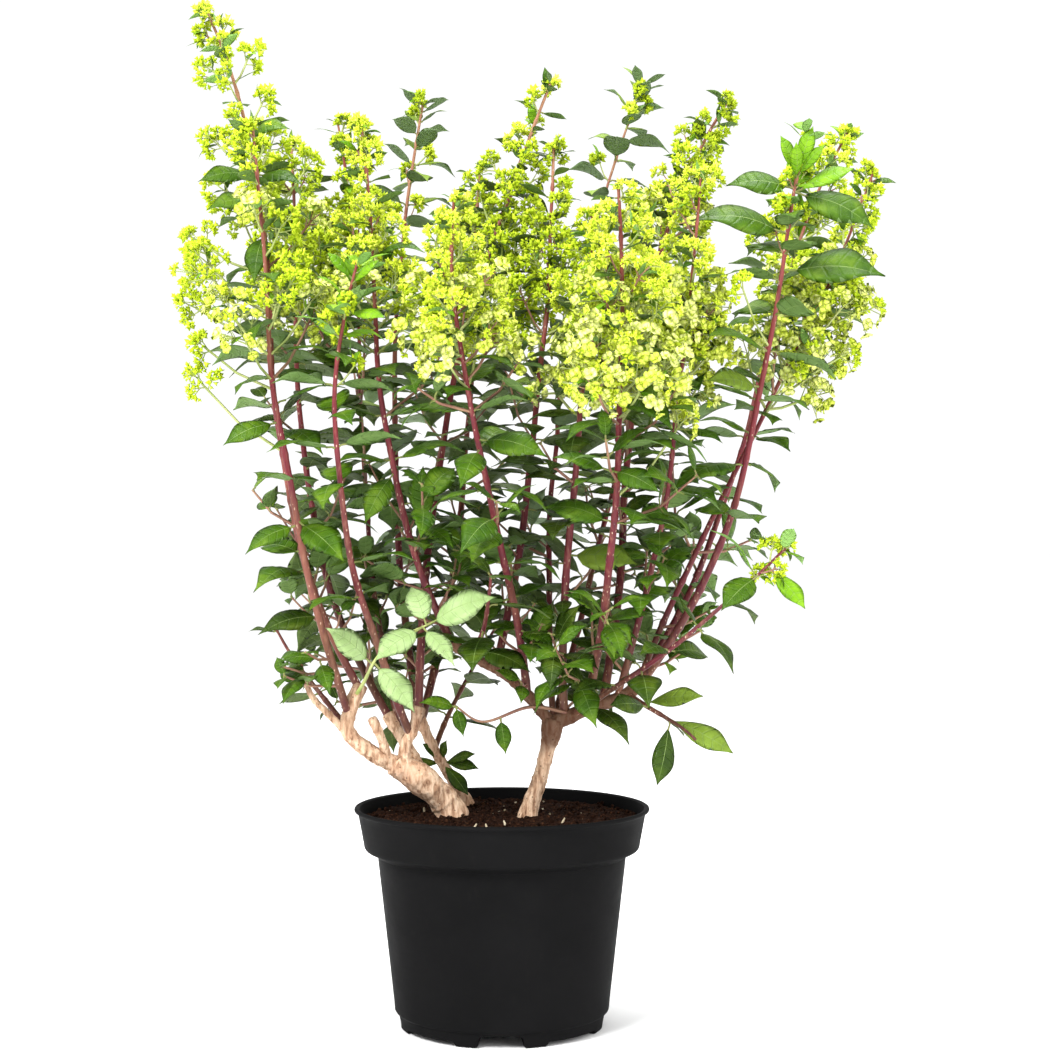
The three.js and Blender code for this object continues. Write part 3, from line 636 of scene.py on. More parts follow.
def tuftForm(random):
    vertices, faces, parts = [], [], []
    for k in range(tuft["buds"]):
        away = math.acos(1 - (k + 0.5) / tuft["buds"] * tuft["spread"])
        around = k * goldenTurn + random.uniform(-0.3, 0.3)
        aside = math.sin(away)
        direction = Vector((math.cos(away), aside * math.cos(around), aside * math.sin(around)))
        centre = direction * tuft["reach"] * random.uniform(*tuft["away"])
        facing = direction.to_track_quat("Z", "Y").to_matrix()
        points, corners, sides = lobedBud(random.uniform(0, 1.6), random.uniform(-0.4, 0.4))
        size = tuft["size"] * random.uniform(*tuft["sizes"])
        addPart(vertices, faces, [centre + facing @ p * size for p in points], corners)
        parts += sides
    return vertices, faces, parts, None


floret = {
    "petals": 4, "rows": 2, "uneven": 0.12, "sizes": [0.85, 1.1], "cup": [0.15, 0.45], "width": [0.14, 0.44],
    "thick": 0.05, "heart": 0.2, "heartRise": 0.08,
}


def floretForm(random):
    vertices, faces, parts = [], [], []
    for k in range(floret["petals"]):
        away = k * 2 * math.pi / floret["petals"] + random.uniform(-floret["uneven"], floret["uneven"])
        spin = Matrix.Rotation(away, 3, "X")
        size, cup = random.uniform(*floret["sizes"]), random.uniform(*floret["cup"])

        def surface(i, u):
            t = i / floret["rows"]
            y = u * size * (floret["width"][0] + floret["width"][1] * math.sin(math.pi * (0.05 + 0.7 * t)))
            z = (t - 0.16 * abs(u) * (t > 0.9)) * size
            x = cup * t * t + 0.12 * u * u - 0.05 * math.sin(5 * t + k)
            return spin @ Vector((x, y, z)), spin @ Vector((x - floret["thick"], y, z))

        points, corners, sides, along = bladeGrid(floret["rows"], [-1, 0, 1], surface)
        addPart(vertices, faces, points, corners)
        parts += [0] * len(sides)
    points, corners, sides = lobedBud(0.4, 0, floret["petals"])
    facing, rise = Matrix.Rotation(math.pi / 2, 3, "Y"), Vector((floret["heartRise"], 0, 0))
    addPart(vertices, faces, [facing @ p * floret["heart"] + rise for p in points], corners)
    parts += [2] * len(corners)
    return vertices, faces, parts, None


templates = {}  # by kind


def makeTemplates(kind, forms):
    templates[kind] = group = bpy.data.collections.new(f"{kind}Form")
    for k, (vertices, faces, parts, along) in enumerate(forms):
        thing = objectOf(f"{kind}Form{k}", vertices, faces)
        bpy.context.scene.collection.objects.unlink(thing)
        group.objects.link(thing)
        setAttribute(thing.data, "part", "INT", "FACE", parts)
        if along:
            setAttribute(thing.data, "blade", "FLOAT_VECTOR", "POINT", along)
        thing.data.polygons.foreach_set("use_smooth", [True] * len(faces))


# Leaves, blossom and stalks are gathered first as lists of places, and then made by the trees
spots = {}  # by kind and tone: place, directions, size and variant
sticks = {}  # by tone: points and their radii
leafVariants = 5  # the leaf form after these is the narrow one
tuftVariants = 4
roomSize = 30000
room = {"points": np.zeros((roomSize, 3)), "reach": np.zeros(roomSize), "group": np.zeros(roomSize, int)}
room["count"] = 0
# Leaves and sprays of one group may touch, and group 0 has those with places of their own
groups = numbering(1)
shrinks = (1, 0.85, 0.7)  # what finds no room is turned first and then shortened


def addSpot(kind, tone, place, out, up, size, variant):
    spots.setdefault((kind, tone), []).append((place, out, up, size, variant))


def addStick(tone, points, radii):
    sticks.setdefault(tone, []).append((np.array(points), np.array(radii)))


def isFree(points, reach, group):
    n = room["count"]
    gaps = np.linalg.norm(np.array(points)[:, None] - room["points"][None, :n], axis=2)
    return not ((gaps < reach + room["reach"][:n]) & (room["group"][:n] != group)).any()


def takeRoom(points, reach, group):
    n = room["count"]
    room["count"] = n + len(points)
    for key, value in (("points", points), ("reach", reach), ("group", group)):
        room[key][n:room["count"]] = value


def placing(mass, start, turn, rise):
    share = 1 - start / mass["path"]["total"]
    at, along, back, right = frameAt(mass["path"], share)
    level = between(right, back, turn)
    return at, between(level, along, rise), between(along, -level, rise)


def inCrown(place):
    return (place >= crownLow).all() and (place <= crownHigh).all()


def inOwnSpace(mass, tip, interlock=0.03):
    near = {name: np.linalg.norm(points - tip, axis=1).min() for name, points in massPlaces.items()}
    return inCrown(tip) and near[mass["name"]] - interlock <= min(near.values())


def inSpan(place):
    left, right = (np.interp(place[2], crownSpan["height"], crownSpan[side]) for side in ("left", "right"))
    half = (right - left) / 2
    across, through = (place[0] - (left + right) / 2) / half, place[1] / (half * crownSpan["depth"])
    return abs(across) < 1 and across ** 2 * crownSpan["corner"] + through ** 2 < 1


leafRule = {
    "petiole": 0.13, "petioleRadii": [0.0012, 0.0008, 0.0009], "follow": 0.55, "droop": [-0.15, 0.35],
    "roll": 0.42, "reach": 0.008, "needed": 0.06, "taken": 0.08, "swings": (0, 0.4, -0.4, 0.8, -0.8),
    "samples": [0.25, 0.6, 0.95], "facing": [0.0, -0.75, 0.65], "ahead": (0, 0.025, 0.05, 0.075, 0.1),
    "clear": 0.42,
}


def growLeaf(mass, start, turn, rise, size, tone, group, shape="leaf", strict=True):
    random, rule = mass["random"], leafRule
    for shrink, swing in product(shrinks, rule["swings"]):
        length = size * shrink
        at, out, up = placing(mass, start, turn + swing, rise)
        foot = at + out * rule["petiole"] * length
        level = unit(out * np.array([1, 1, rule["follow"]]))
        droop = random.uniform(*rule["droop"])
        lean = unit(level * math.cos(droop) - np.array([0, 0, math.sin(droop)]))
        side = unit(np.cross(unit(up * rule["follow"] + np.array([0, 0, 1])), lean))
        roll = random.uniform(-rule["roll"], rule["roll"])
        above = between(np.cross(lean, side), side, roll)
        blade = length * (1 - rule["petiole"])
        samples = foot + lean * blade * np.array(rule["samples"])[:, None]
        if not inOwnSpace(mass, samples[-1]) or not (mass["low"] or inSpan(samples[-1])):
            continue
        if strict and not isFree(samples, rule["reach"] * length / rule["needed"], group):
            continue
        takeRoom(samples, rule["reach"] * length / rule["taken"], group)
        variant = leafVariants if shape == "narrow" else random.randrange(leafVariants)
        addSpot("leaf", tone, foot, lean, above, blade, variant)
        middle = at + out * rule["petiole"] * length * 0.6 + up * 0.001
        addStick("petiole", [at, middle, foot + lean * blade * 0.04], rule["petioleRadii"])
        return


def setLeaf(at, direction, size, variant, tone):
    lean = unit(np.array(direction))
    above = upright(lean, leafRule["facing"])
    foot = at + lean * size * leafRule["petiole"]
    addSpot("leaf", tone, foot, lean, above, size * (1 - leafRule["petiole"]), variant)
    addStick("petiole", [at, foot + lean * size * 0.03], leafRule["petioleRadii"][:2])
    middle = foot + lean * size * 0.5
    kept = [middle - [0, ahead, 0] for ahead in leafRule["ahead"]]
    takeRoom(kept, size * leafRule["clear"], 0)


sprayRule = {
    "fan": 1.25, "vary": [0.85, 1.1], "stalk": [0.0011, 0.0008], "arm": [0.0007, 0.0005],
    "branch": [0.0005, 0.0004], "armSpacing": 0.0048, "fork": [0.3, 0.62], "fuller": [0.013, 0.018],
    "twigFan": 0.72, "twigTurn": 2.1, "twig": [0.28, 0.6], "tuft": 0.0056, "tufts": [0.75, 1.2],
    "floret": 0.006, "florets": [0.7, 1.15], "bract": 0.02, "bracts": [0.5, 1.1], "pinkShare": 0.25,
    "ownBud": 0.6, "openShare": 0.8, "openFrom": 0.25, "openRise": 3.2, "interlock": 0.042,
    "swings": (0, 0.35, -0.35, 0.7, -0.7), "needed": [0.25, 0.05], "tipZone": 0.06,
}


def growHead(mass, hub, out, up, head, looks):
    random, rule = mass["random"], sprayRule
    side = np.cross(up, out)
    arms = max(3, round(head / rule["armSpacing"]))
    twigs = 2 + (head > rule["fuller"][0]) + (head > rule["fuller"][1])
    for k in range(arms):
        away = rule["fan"] * math.sqrt((k + 0.3) / arms) * random.uniform(*rule["vary"])
        around = k * goldenTurn + random.uniform(-0.3, 0.3)
        direction = between(out, between(side, up, around), away)
        foot = hub - out * head * 0.5 * k / arms
        fork = foot + direction * head * random.uniform(*rule["fork"])
        addStick(looks["stalk"], [foot, fork], rule["arm"])
        sideways = unit(np.cross(direction, up + 0.2 * side))
        upward = np.cross(sideways, direction)
        for m in range(twigs):
            lean = rule["twigFan"] * (0.25 if m == 0 else random.uniform(0.8, 1.15))
            spin = m * rule["twigTurn"] + random.uniform(-0.3, 0.3)
            pointing = unit(between(direction, between(sideways, upward, spin), lean))
            end = fork + pointing * head * random.uniform(*rule["twig"])
            if not inCrown(end):
                continue
            addStick("stalkGreen", [fork, end], rule["branch"])
            level = unit(np.cross(pointing, np.array([0.3, 0.2, 1])))
            kind, tone = "tuft", looks["bud"]
            if random.random() < looks["open"]:
                kind, tone = "floret", random.choice(floretTones)
            else:
                end = end - pointing * 0.002
            size = rule[kind] * random.uniform(*rule[f"{kind}s"])
            addSpot(kind, tone, end, pointing, level, size, random.randrange(tuftVariants))


def roomForHead(hub, out, head, group):
    takeRoom([hub + out * head * 0.4], head * 0.6, group)


def growSpray(mass, start, turn, rise, length, head, group):
    random, rule = mass["random"], sprayRule
    needed = rule["needed"][start < rule["tipZone"]] * head
    for shrink, swing in product(shrinks, rule["swings"]):
        at, out, up = placing(mass, start, turn + swing, rise)
        hub = at + out * (length * shrink - head)
        tip = at + out * length * shrink
        if inOwnSpace(mass, tip, rule["interlock"]) and isFree([hub, tip], needed, group):
            break
    else:
        return
    roomForHead(hub, out, head, group)
    lowShare = start / mass["bloom"] if mass["bloom"] else 0
    flowering = random.random() < mass["florets"] * rule["openRise"] * (lowShare - rule["openFrom"])
    looks = {
        "bud": mass["bud"] if random.random() < rule["ownBud"] else random.choice(budTones),
        "open": rule["openShare"] if flowering else 0,
        "stalk": "stalkPink" if random.random() < rule["pinkShare"] else "stalkGreen",
    }
    way = hub - at
    bend = up * way.dot(way) ** 0.5 * 0.06
    addStick(looks["stalk"], [at, at + way * 0.35 - bend, at + way * 0.7 - bend * 0.6, hub],
             np.linspace(*rule["stalk"], 4) * (0.65 + head / 0.04))
    growHead(mass, hub, out, up, head, looks)
    side = np.cross(up, out)
    for _ in range(2):
        around = random.uniform(0, 2 * math.pi)
        pointing = unit(out * 0.5 + side * math.cos(around) + up * math.sin(around))
        tone = "mid" if random.random() < 0.5 else "young"
        size = rule["bract"] * random.uniform(*rule["bracts"])
        above = unit(np.cross(pointing, side))
        addSpot("bract", tone, hub, pointing, above, size, random.randrange(leafVariants))


# From the tip of a shoot down: pairs of values run to the end of the panicle or of the young part, and each
# stage has the sizes of its leaves and how much they vary
growthRule = {
    "first": 0.012, "foot": 0.012, "tipTuft": 0.003, "tipLeaves": [6, 2], "tipLeaf": [0.029, 0.014],
    "tipStart": 0.002, "tipStep": 0.002, "tipRise": 0.9, "young": [[0.033, 0.06], [0.85, 1.15]],
    "bloom": [[0.024, 0.058], [0.8, 1.15]], "full": [[0.062, 0.062], [0.8, 1.12]], "youngLength": 0.16,
    "bloomGap": [0.02, 0.021], "youngGap": [0.009, 0.032], "leafGap": 0.034, "greenShare": 0.25,
    "youngShare": 0.45, "narrowShare": 0.45, "leafRise": [0.55, 0.15], "riseBy": 0.3, "steep": 0.7,
    "steepFade": 1.6, "shortest": 0.015, "head": [0.01, 0.026], "sprayRise": [0.85, 0.8], "flowery": 0.5,
    "second": [0.006, 0.8],
    "lone": {"share": 0.9, "chance": 0.3, "rise": 0.9, "length": [0.02, 0.02], "head": 0.007},
}
# The olive tone among these is painted shade
budTones = ["lime", "yellow", "olive"]
floretTones = ["cream", "lime"]


def growCrown(mass):
    random, bloom, rule = mass["random"], mass["bloom"], growthRule
    lone = rule["lone"]
    airyShare, skipped = mass["airy"]
    tip, along, back, right = frameAt(mass["path"], 1)
    if (tip + along * 0.004 < crownHigh).all():
        addSpot("tuft", mass["bud"], tip - along * rule["tipTuft"], along, back, sprayRule["tuft"], 0)
    for k in range(rule["tipLeaves"][bloom > 0]):
        size = rule["tipLeaf"][bloom > 0] * random.uniform(0.8, 1.2)
        tone = "young" if mass["leaf"] == "mid" else "soft"
        growLeaf(mass, rule["tipStart"] + rule["tipStep"] * k, mass["spin"] + goldenTurn * k, rule["tipRise"],
                 size, tone, mass["group"], "narrow", strict=False)
    length = mass["path"]["total"] * (1 - mass["start"]) - rule["foot"]
    start, turn = rule["first"], mass["spin"]
    while start < length:
        share = start / (bloom or rule["youngLength"])
        stage = "full" if share >= 1 else "bloom" if bloom else "young"
        for half in (0, math.pi):
            group = next(groups)
            heading = turn + half + random.uniform(-0.2, 0.2)
            size = mix(rule[stage][0], share) * random.uniform(*rule[stage][1])
            tone = mass["leaf"]
            # Leaves high on a panicle keep the mid tone, without the painted shade of the dark tone
            if stage == "bloom" and share <= rule["greenShare"]:
                tone = "mid"
            if stage == "young" and share < rule["youngShare"] and tone == "mid":
                tone = "young"
            rise = mix(rule["leafRise"], start / rule["riseBy"]) + random.uniform(-0.15, 0.15)
            if not bloom:
                rise += rule["steep"] * max(0, 1 - share * rule["steepFade"])
            shape = "narrow" if bloom and share < rule["narrowShare"] else "leaf"
            growLeaf(mass, start, heading, rise, size * mass["leafSize"], tone, group, shape)
            sparse = share < airyShare and random.random() < skipped
            if stage == "bloom" and not sparse:
                reach = mix([rule["shortest"], mass["reach"]], share) * random.uniform(0.82, 1.1)
                head = mix(rule["head"], share) * random.uniform(0.85, 1.15)
                rise = mix(rule["sprayRise"], share) + random.uniform(-0.12, 0.12)
                growSpray(mass, start, heading, rise, reach, head, group)
                if mass["florets"] >= rule["flowery"] and share > airyShare:
                    lower, shorter = rule["second"]
                    growSpray(mass, start - lower, turn + half + math.pi / 2, rise, reach * shorter, head,
                              next(groups))
            elif not bloom and share < lone["share"] and random.random() < lone["chance"]:
                reach = lone["length"][0] + lone["length"][1] * share
                growSpray(mass, start, heading, lone["rise"], reach, lone["head"], group)
            if stage == "full" and not mass["gap"] and random.random() < sideTwig["share"]:
                growSideTwig(mass, start, turn + half + sideTwig["beside"], group)
        turn += math.pi / 2 + random.uniform(-0.12, 0.12)
        if stage == "full":
            start += (mass["gap"] or rule["leafGap"]) * random.uniform(0.85, 1.15)
        else:
            start += mix(rule[f"{stage}Gap"], share)


# Leafy side twigs: how they stand and, inside the crown and at its foot, how many, where and how large
sideTwig = {
    "length": [0.045, 0.095], "radii": [0.0014, 0.0012, 0.0009], "rise": 0.6, "lift": 0.12, "sag": 0.03,
    "first": 0.002, "bare": 0.014, "gap": 0.022, "leaf": 0.048, "leafRise": 0.45, "share": 0.6, "beside": 0.5,
    "interlock": 0.012, "needed": 0.007,
    "inside": 11, "atFoot": 7, "where": [(0.02, 0.26), (0.01, 0.11)], "scale": [1, 0.62],
}


def growSideTwig(mass, start, turn, group, scale=1):
    random, rule = mass["random"], sideTwig
    at, out, up = placing(mass, start, turn, rule["rise"] + random.uniform(-0.2, 0.2))
    length = random.uniform(*rule["length"]) * scale
    tip = at + out * length + up * length * rule["lift"]
    if not inSpan(tip) or not inOwnSpace(mass, tip, rule["interlock"]):
        return
    if not isFree([tip, (at + tip) / 2], rule["needed"], group):
        return
    path = pathOf([at, at + out * length * 0.5 - up * length * rule["sag"], tip])
    addStick("stalkPink", path["points"], rule["radii"])
    place, turn = rule["first"], random.uniform(0, math.pi)
    while place < length - rule["bare"]:
        for half in (0, math.pi):
            size = rule["leaf"] * random.uniform(0.75, 1.2) * (0.55 + min(place / 0.04, 0.5)) * scale ** 0.4
            growLeaf({**mass, "path": path}, place, turn + half, rule["leafRise"], size, mass["leaf"], group)
        turn += math.pi / 2
        place += rule["gap"]


def growInside(mass):
    random, total = mass["random"], mass["path"]["total"]
    for k in range(sideTwig["inside"] + sideTwig["atFoot"]):
        low = k >= sideTwig["inside"]
        start = total * (1 - random.uniform(*sideTwig["where"][low]))
        growSideTwig(mass, start, random.uniform(0, 2 * math.pi), next(groups), sideTwig["scale"][low])


lowRule = {
    "first": 0.004, "sizes": [0.6, 1.08], "sizeBy": 0.03, "rise": [0.7, 0.2], "riseBy": 0.06, "tip": 0.05,
    "closer": 0.85, "sprays": 4, "sprayFirst": 0.006, "sprayStep": 0.012, "sprayTurn": 2.2,
    "spray": (0.9, 0.022, 0.009),
}


def growLowTwig(mass):
    random, rule = mass["random"], lowRule
    length = mass["path"]["total"] - growthRule["foot"]
    start, turn = rule["first"], mass["spin"]
    while start < length:
        for half in (0, math.pi):
            size = mass["size"] * mix(rule["sizes"], start / rule["sizeBy"]) * random.uniform(0.85, 1.1)
            rise = mix(rule["rise"], start / rule["riseBy"])
            tone = mass["tipLeaf"] if mass["tipLeaf"] and start < rule["tip"] else mass["leaf"]
            heading = turn + half + random.uniform(-0.2, 0.2)
            growLeaf(mass, start, heading, rise, size, tone, next(groups), mass["shape"])
        turn += math.pi / 2
        start += mass["spacing"] * rule["closer"]
    if mass["tipLeaf"]:
        for k in range(rule["sprays"]):
            start, around = rule["sprayFirst"] + rule["sprayStep"] * k, turn + k * rule["sprayTurn"]
            growSpray(mass, start, around, *rule["spray"], next(groups))


# Leaves that stand out at the front, by shoot: height, direction of the leaf, its length and tone
frontLeaves = {
    "tall_left": [
        (0.742, -0.92, -0.35, -0.05, 0.05, "mid"), (0.742, 0.88, -0.4, -0.12, 0.046, "mid"),
        (0.716, -0.85, -0.45, 0.02, 0.046, "mid"), (0.776, 0.8, -0.45, 0.2, 0.04, "mid"),
        (0.692, -0.12, -0.62, -0.78, 0.052, "mid"), (0.366, -0.9, -0.4, -0.12, 0.058, "dark"),
    ],
    "left_front": [
        (0.452, 0.7, -0.45, -0.55, 0.06, "mid"), (0.448, -0.85, -0.4, -0.35, 0.05, "mid"),
        (0.533, -0.9, -0.3, -0.3, 0.05, "mid"),
    ],
    "crossing": [(0.494, -0.45, -0.5, -0.74, 0.054, "mid")],
    "centre": [(0.413, 0.93, -0.35, -0.05, 0.064, "soft")],
    "right_leafy": [
        (0.661, 0.96, -0.25, -0.05, 0.086, "mid"), (0.69, -0.93, -0.2, 0.25, 0.082, "mid"),
        (0.723, 0.88, -0.2, -0.36, 0.074, "mid"), (0.726, -0.98, -0.15, 0.1, 0.058, "mid"),
        (0.722, 0.9, -0.15, 0.42, 0.054, "young"), (0.735, -0.36, -0.3, 0.88, 0.037, "young"),
        (0.738, 0.26, -0.3, 0.92, 0.04, "young"), (0.734, 0.55, -0.4, 0.72, 0.036, "young"),
        (0.732, -0.05, -0.6, 0.78, 0.034, "young"), (0.728, 0.3, -0.7, -0.1, 0.03, "young"),
        (0.568, -0.85, -0.45, 0.1, 0.054, "soft"),
    ],
    "front_left": [(0.518, 0.8, -0.4, -0.1, 0.062, "mid")],
    "low_whip": [(0.402, -0.6, -0.45, -0.5, 0.05, "mid"), (0.408, 0.55, -0.5, -0.62, 0.05, "young")],
    "bright_front": [
        (0.64, -0.6, -0.3, 0.7, 0.03, "young"), (0.636, 0.65, -0.4, 0.6, 0.032, "young"),
        (0.615, 0.8, -0.55, -0.1, 0.04, "young"),
    ],
}
# Sprays on long stalks below the panicles: height, direction of the stalk, its length and the head's
frontSprays = {
    "tall_left": [
        (0.602, -0.9, -0.12, 0.38, 0.09, 0.02), (0.655, -0.88, -0.2, 0.44, 0.084, 0.018),
        (0.508, -0.72, -0.25, 0.62, 0.108, 0.018), (0.56, -0.8, -0.3, 0.5, 0.085, 0.016),
    ],
    "right_far": [(0.565, 0.86, -0.15, 0.38, 0.08, 0.018), (0.59, 0.62, -0.45, 0.62, 0.08, 0.018)],
    "right_leafy": [(0.6, -0.42, -0.45, 0.78, 0.075, 0.016)],
    "front_right": [(0.47, 0.62, -0.3, 0.72, 0.1, 0.018)],
}
frontStalk = [0.0013, 0.0011, 0.001]


def atHeight(path, height):
    return pointAt(path, np.interp(height, path["points"][:, 2], np.linspace(0, 1, len(path["points"]))))


def growFrontSpray(mass, height, direction, length, head):
    at, out = atHeight(mass["path"], height), unit(np.array(direction))
    up = upright(out, [0, 0, 1])
    hub = at + out * (length - head)
    opened = sprayRule["openShare"] if mass["florets"] > growthRule["flowery"] else 0
    addStick("stalkGreen", [at, at + (hub - at) * 0.5 - up * length * 0.05, hub], frontStalk)
    growHead(mass, hub, out, up, head, {"bud": mass["bud"], "open": opened, "stalk": "stalkGreen"})
    roomForHead(hub, out, head, 0)


massSeed = 10
masses = []
for index, (name, row) in enumerate([*shoots.items(), *lowTwigs.items()], 1):
    random = Random(massSeed + index)
    masses.append({
        **row, "name": name, "low": name in lowTwigs, "index": index, "group": next(groups),
        "path": shootPath(row), "random": random, "spin": random.uniform(0, math.pi),
        "thickness": random.uniform(0.6, 0.9),
    })
massNamed = {mass["name"]: mass for mass in masses}
massPlaces = {mass["name"]: np.array(pointsAlong(mass["path"], mass["start"], 24)) for mass in masses}
stemRoom = {"count": 60, "reach": 0.003}
for mass in masses:
    takeRoom(pointsAlong(mass["path"], 0, stemRoom["count"]), stemRoom["reach"], mass["group"])
for name, rows in frontLeaves.items():
    mass = massNamed[name]
    for height, *direction, size, tone in rows:
        variant = leafVariants if tone == "young" else mass["random"].randrange(leafVariants)
        setLeaf(atHeight(mass["path"], height), direction, size, variant, tone)
for name, rows in frontSprays.items():
    for height, *direction, length, head in rows:
        growFrontSpray(massNamed[name], height, direction, length, head)

# A thin runner hangs between the trunks
runner = {
    "from": "limb_right", "at": 0.22, "radii": [0.0019, 0.0009], "count": 40,
    "path": [[0.025, -0.022, 0.281], [-0.018, -0.03, 0.269], [-0.041, -0.028, 0.283]],
}
runnerPath = smoothPath([pointAt(woodPaths[runner["from"]], runner["at"]), *runner["path"]])
stemRadii = np.linspace(*runner["radii"], runner["count"])
addStick("stalkPink", pointsAlong(runnerPath, 0, runner["count"]), stemRadii)

# The runner's leaves, a dark tuft at the back trunk, two hanging leaves and those of the pale twig: share of
# the way, direction and length of each leaf
placedLeaves = [
    (runnerPath, "mid", [1], [
        (0.62, 0.15, -0.35, -0.9, 0.032), (0.97, -0.85, -0.3, 0.25, 0.034),
        (0.99, 0.25, -0.5, -0.8, 0.028)]),
    (woodPaths["trunk_back"], "dark", [leafVariants], [
        (0.5, -0.95, -0.3, 0.1, 0.032), (0.5, 0.85, -0.4, 0.35, 0.034),
        (0.51, 0.62, -0.45, -0.65, 0.04), (0.52, 0.15, -0.6, 0.75, 0.026),
        (0.52, 0.95, -0.3, -0.1, 0.036), (0.53, -0.55, -0.5, 0.65, 0.026)]),
    (massNamed["low_right"]["path"], "soft", [leafVariants], [
        (0.62, 0.88, -0.25, -0.4, 0.066), (0.3, 0.8, -0.5, 0.2, 0.058)]),
    (massNamed["low_pale"]["path"], "pale", range(leafVariants), [
        (0.5, -0.72, -0.2, 0.66, 0.05), (0.52, 0.66, -0.3, -0.66, 0.054),
        (0.97, -0.74, -0.35, -0.5, 0.05), (0.97, 0.62, -0.45, -0.6, 0.044),
        (1.0, -0.3, 0.3, 0.8, 0.04), (1.0, 0.84, -0.2, 0.42, 0.064)]),
]
for path, tone, variants, rows in placedLeaves:
    for index, (share, *direction, size) in enumerate(rows):
        setLeaf(pointAt(path, share), direction, size, variants[index % len(variants)], tone)
for mass in masses[len(shoots):]:
    if mass["leaf"] != "pale":
        growLowTwig(mass)
for mass in masses[:len(shoots)]:
    growInside(mass)
for mass in sorted(masses[:len(shoots)], key=lambda mass: mass["bloom"] > 0):
    growCrown(mass)

shootRadii = {"foot": 0.0046, "top": 0.0039, "tip": 0.0015}
twigRadii = {"foot": 0.0028, "tip": 0.0011}
paleStem = {"count": 24, "slim": 0.8}
addStick("stalkGreen", pointsAlong(massNamed["low_pale"]["path"], 0, paleStem["count"]),
         np.linspace(*twigRadii.values(), paleStem["count"]) * paleStem["slim"])
stickCounts = {tone: len(rows) for tone, rows in sticks.items()}
print("grown:", {" ".join(key): len(rows) for key, rows in spots.items()}, "sticks", stickCounts)


# Pieces made by the trees
scatter, rods = scatterTree(), rodTree()
bigLeaf = {
    "rows": leafVeins, "crowding": 1.08, "columns": [-1, -0.58, -0.018, 0.018, 0.58, 1], "ribs": (2,),
    "width": 0.285, "widest": 0.26, "base": 0.6, "point": 1.25, "acumen": 0.5, "tooth": 0.004, "rake": 0.26,
    "quilt": 0.007, "arch": 0.09, "droop": 0.14, "curl": 1.9, "fold": 0.06, "dome": 0.2, "wave": 0.009,
    "phase": 0.0, "twist": 0.0, "thick": 0.011,
}
leafChanges = [
    {},
    {"droop": 0.24, "twist": 0.25, "phase": 1.0, "width": 0.25},
    {"droop": 0.06, "fold": 0.2, "dome": 0.14, "phase": 2.2},
    {"droop": 0.2, "twist": -0.3, "width": 0.24, "phase": 3.1},
    {"arch": 0.14, "droop": 0.27, "width": 0.31, "phase": 4.4},
]
narrowLeaf = {
    "width": 0.2, "widest": 0.38, "base": 0.8, "point": 1.0, "arch": 0.05, "droop": 0.1, "quilt": 0.004,
    "phase": 1.6,
}
smallLeaf = {
    "rows": 6, "columns": [-1, -0.5, 0.5, 1], "ribs": (), "width": 0.2, "quilt": 0.0, "tooth": 0.0,
    "rake": 0.1, "widest": 0.4, "base": 0.7, "point": 0.95,
}
makeTemplates("leaf", [leafForm({**bigLeaf, **change}) for change in [*leafChanges, narrowLeaf]])
makeTemplates("bract", [
    leafForm({**bigLeaf, **smallLeaf, **change, "width": smallLeaf["width"]}) for change in leafChanges])
formRandom = Random(5)
for kind, form in (("tuft", tuftForm), ("floret", floretForm)):
    makeTemplates(kind, [form(formRandom) for _ in range(tuftVariants)])

leafLooks = {
    # dark: painted shade, a darker copy of the leaf colours for leaves at the back, inside the crown and low
    # under it
    "dark": {
        "face": [(0.015, 0.036, 0.002), (0.036, 0.072, 0.004), (0.1, 0.15, 0.014)],
        "back": [(0.06, 0.1, 0.023), (0.084, 0.132, 0.033), (0.115, 0.17, 0.042)],
        "vein": (0.085, 0.15, 0.04),
    },
    "mid": {
        "face": [(0.025, 0.072, 0.003), (0.058, 0.13, 0.005), (0.14, 0.238, 0.016)],
        "back": [(0.1, 0.18, 0.04), (0.13, 0.22, 0.06), (0.17, 0.27, 0.08)], "vein": (0.13, 0.24, 0.055),
    },
    "young": {
        "face": [(0.09, 0.225, 0.004), (0.155, 0.33, 0.008), (0.25, 0.45, 0.02)],
        "back": [(0.18, 0.34, 0.07), (0.22, 0.4, 0.1), (0.27, 0.46, 0.13)], "vein": (0.34, 0.55, 0.14),
        "netting": 0.12,
    },
    "soft": {
        "face": [(0.115, 0.18, 0.016), (0.17, 0.26, 0.03), (0.24, 0.345, 0.055)],
        "back": [(0.13, 0.2, 0.09), (0.16, 0.24, 0.11), (0.19, 0.28, 0.13)], "vein": (0.2, 0.3, 0.12),
    },
    "pale": {
        "face": [(0.23, 0.34, 0.12), (0.3, 0.42, 0.17), (0.38, 0.51, 0.24)],
        "back": [(0.22, 0.31, 0.13), (0.28, 0.37, 0.17), (0.34, 0.43, 0.22)], "vein": (0.52, 0.63, 0.36),
    },
}
backGloss = 0.6
pieces = []


def scatterPiece(label, kind, tone, *coat):
    rows = spots.get((kind, tone))
    if not rows:
        return
    turns = []
    for place, out, up, size, variant in rows:
        side = np.cross(up, out)
        turns.append(Matrix(np.array([out, side, np.cross(out, side)]).T.tolist()).to_euler())
    thing = objectOf(f"{label}_{tone}", [row[0] for row in rows], [])
    setAttribute(thing.data, "turn", "FLOAT_VECTOR", "POINT", turns)
    setAttribute(thing.data, "size", "FLOAT_VECTOR", "POINT", [[row[3]] * 3 for row in rows])
    setAttribute(thing.data, "kind", "INT", "POINT", [row[4] for row in rows])
    pieces.append(runTree(thing, scatter, {"Pieces": templates[kind], **dict(zip(coatLabels, coat))}))


def stickPiece(name, tone, sides, material):
    vertices, edges, thick = [], [], []
    for points, radii in sticks[tone]:
        addPart(vertices, edges, points, [(k, k + 1) for k in range(len(points) - 1)])
        thick += list(radii)
    thing = objectOf(name, vertices, [], edges)
    setAttribute(thing.data, "thick", "FLOAT", "POINT", thick)
    pieces.append(runTree(thing, rods, {"Sides": sides, "Material": material}))


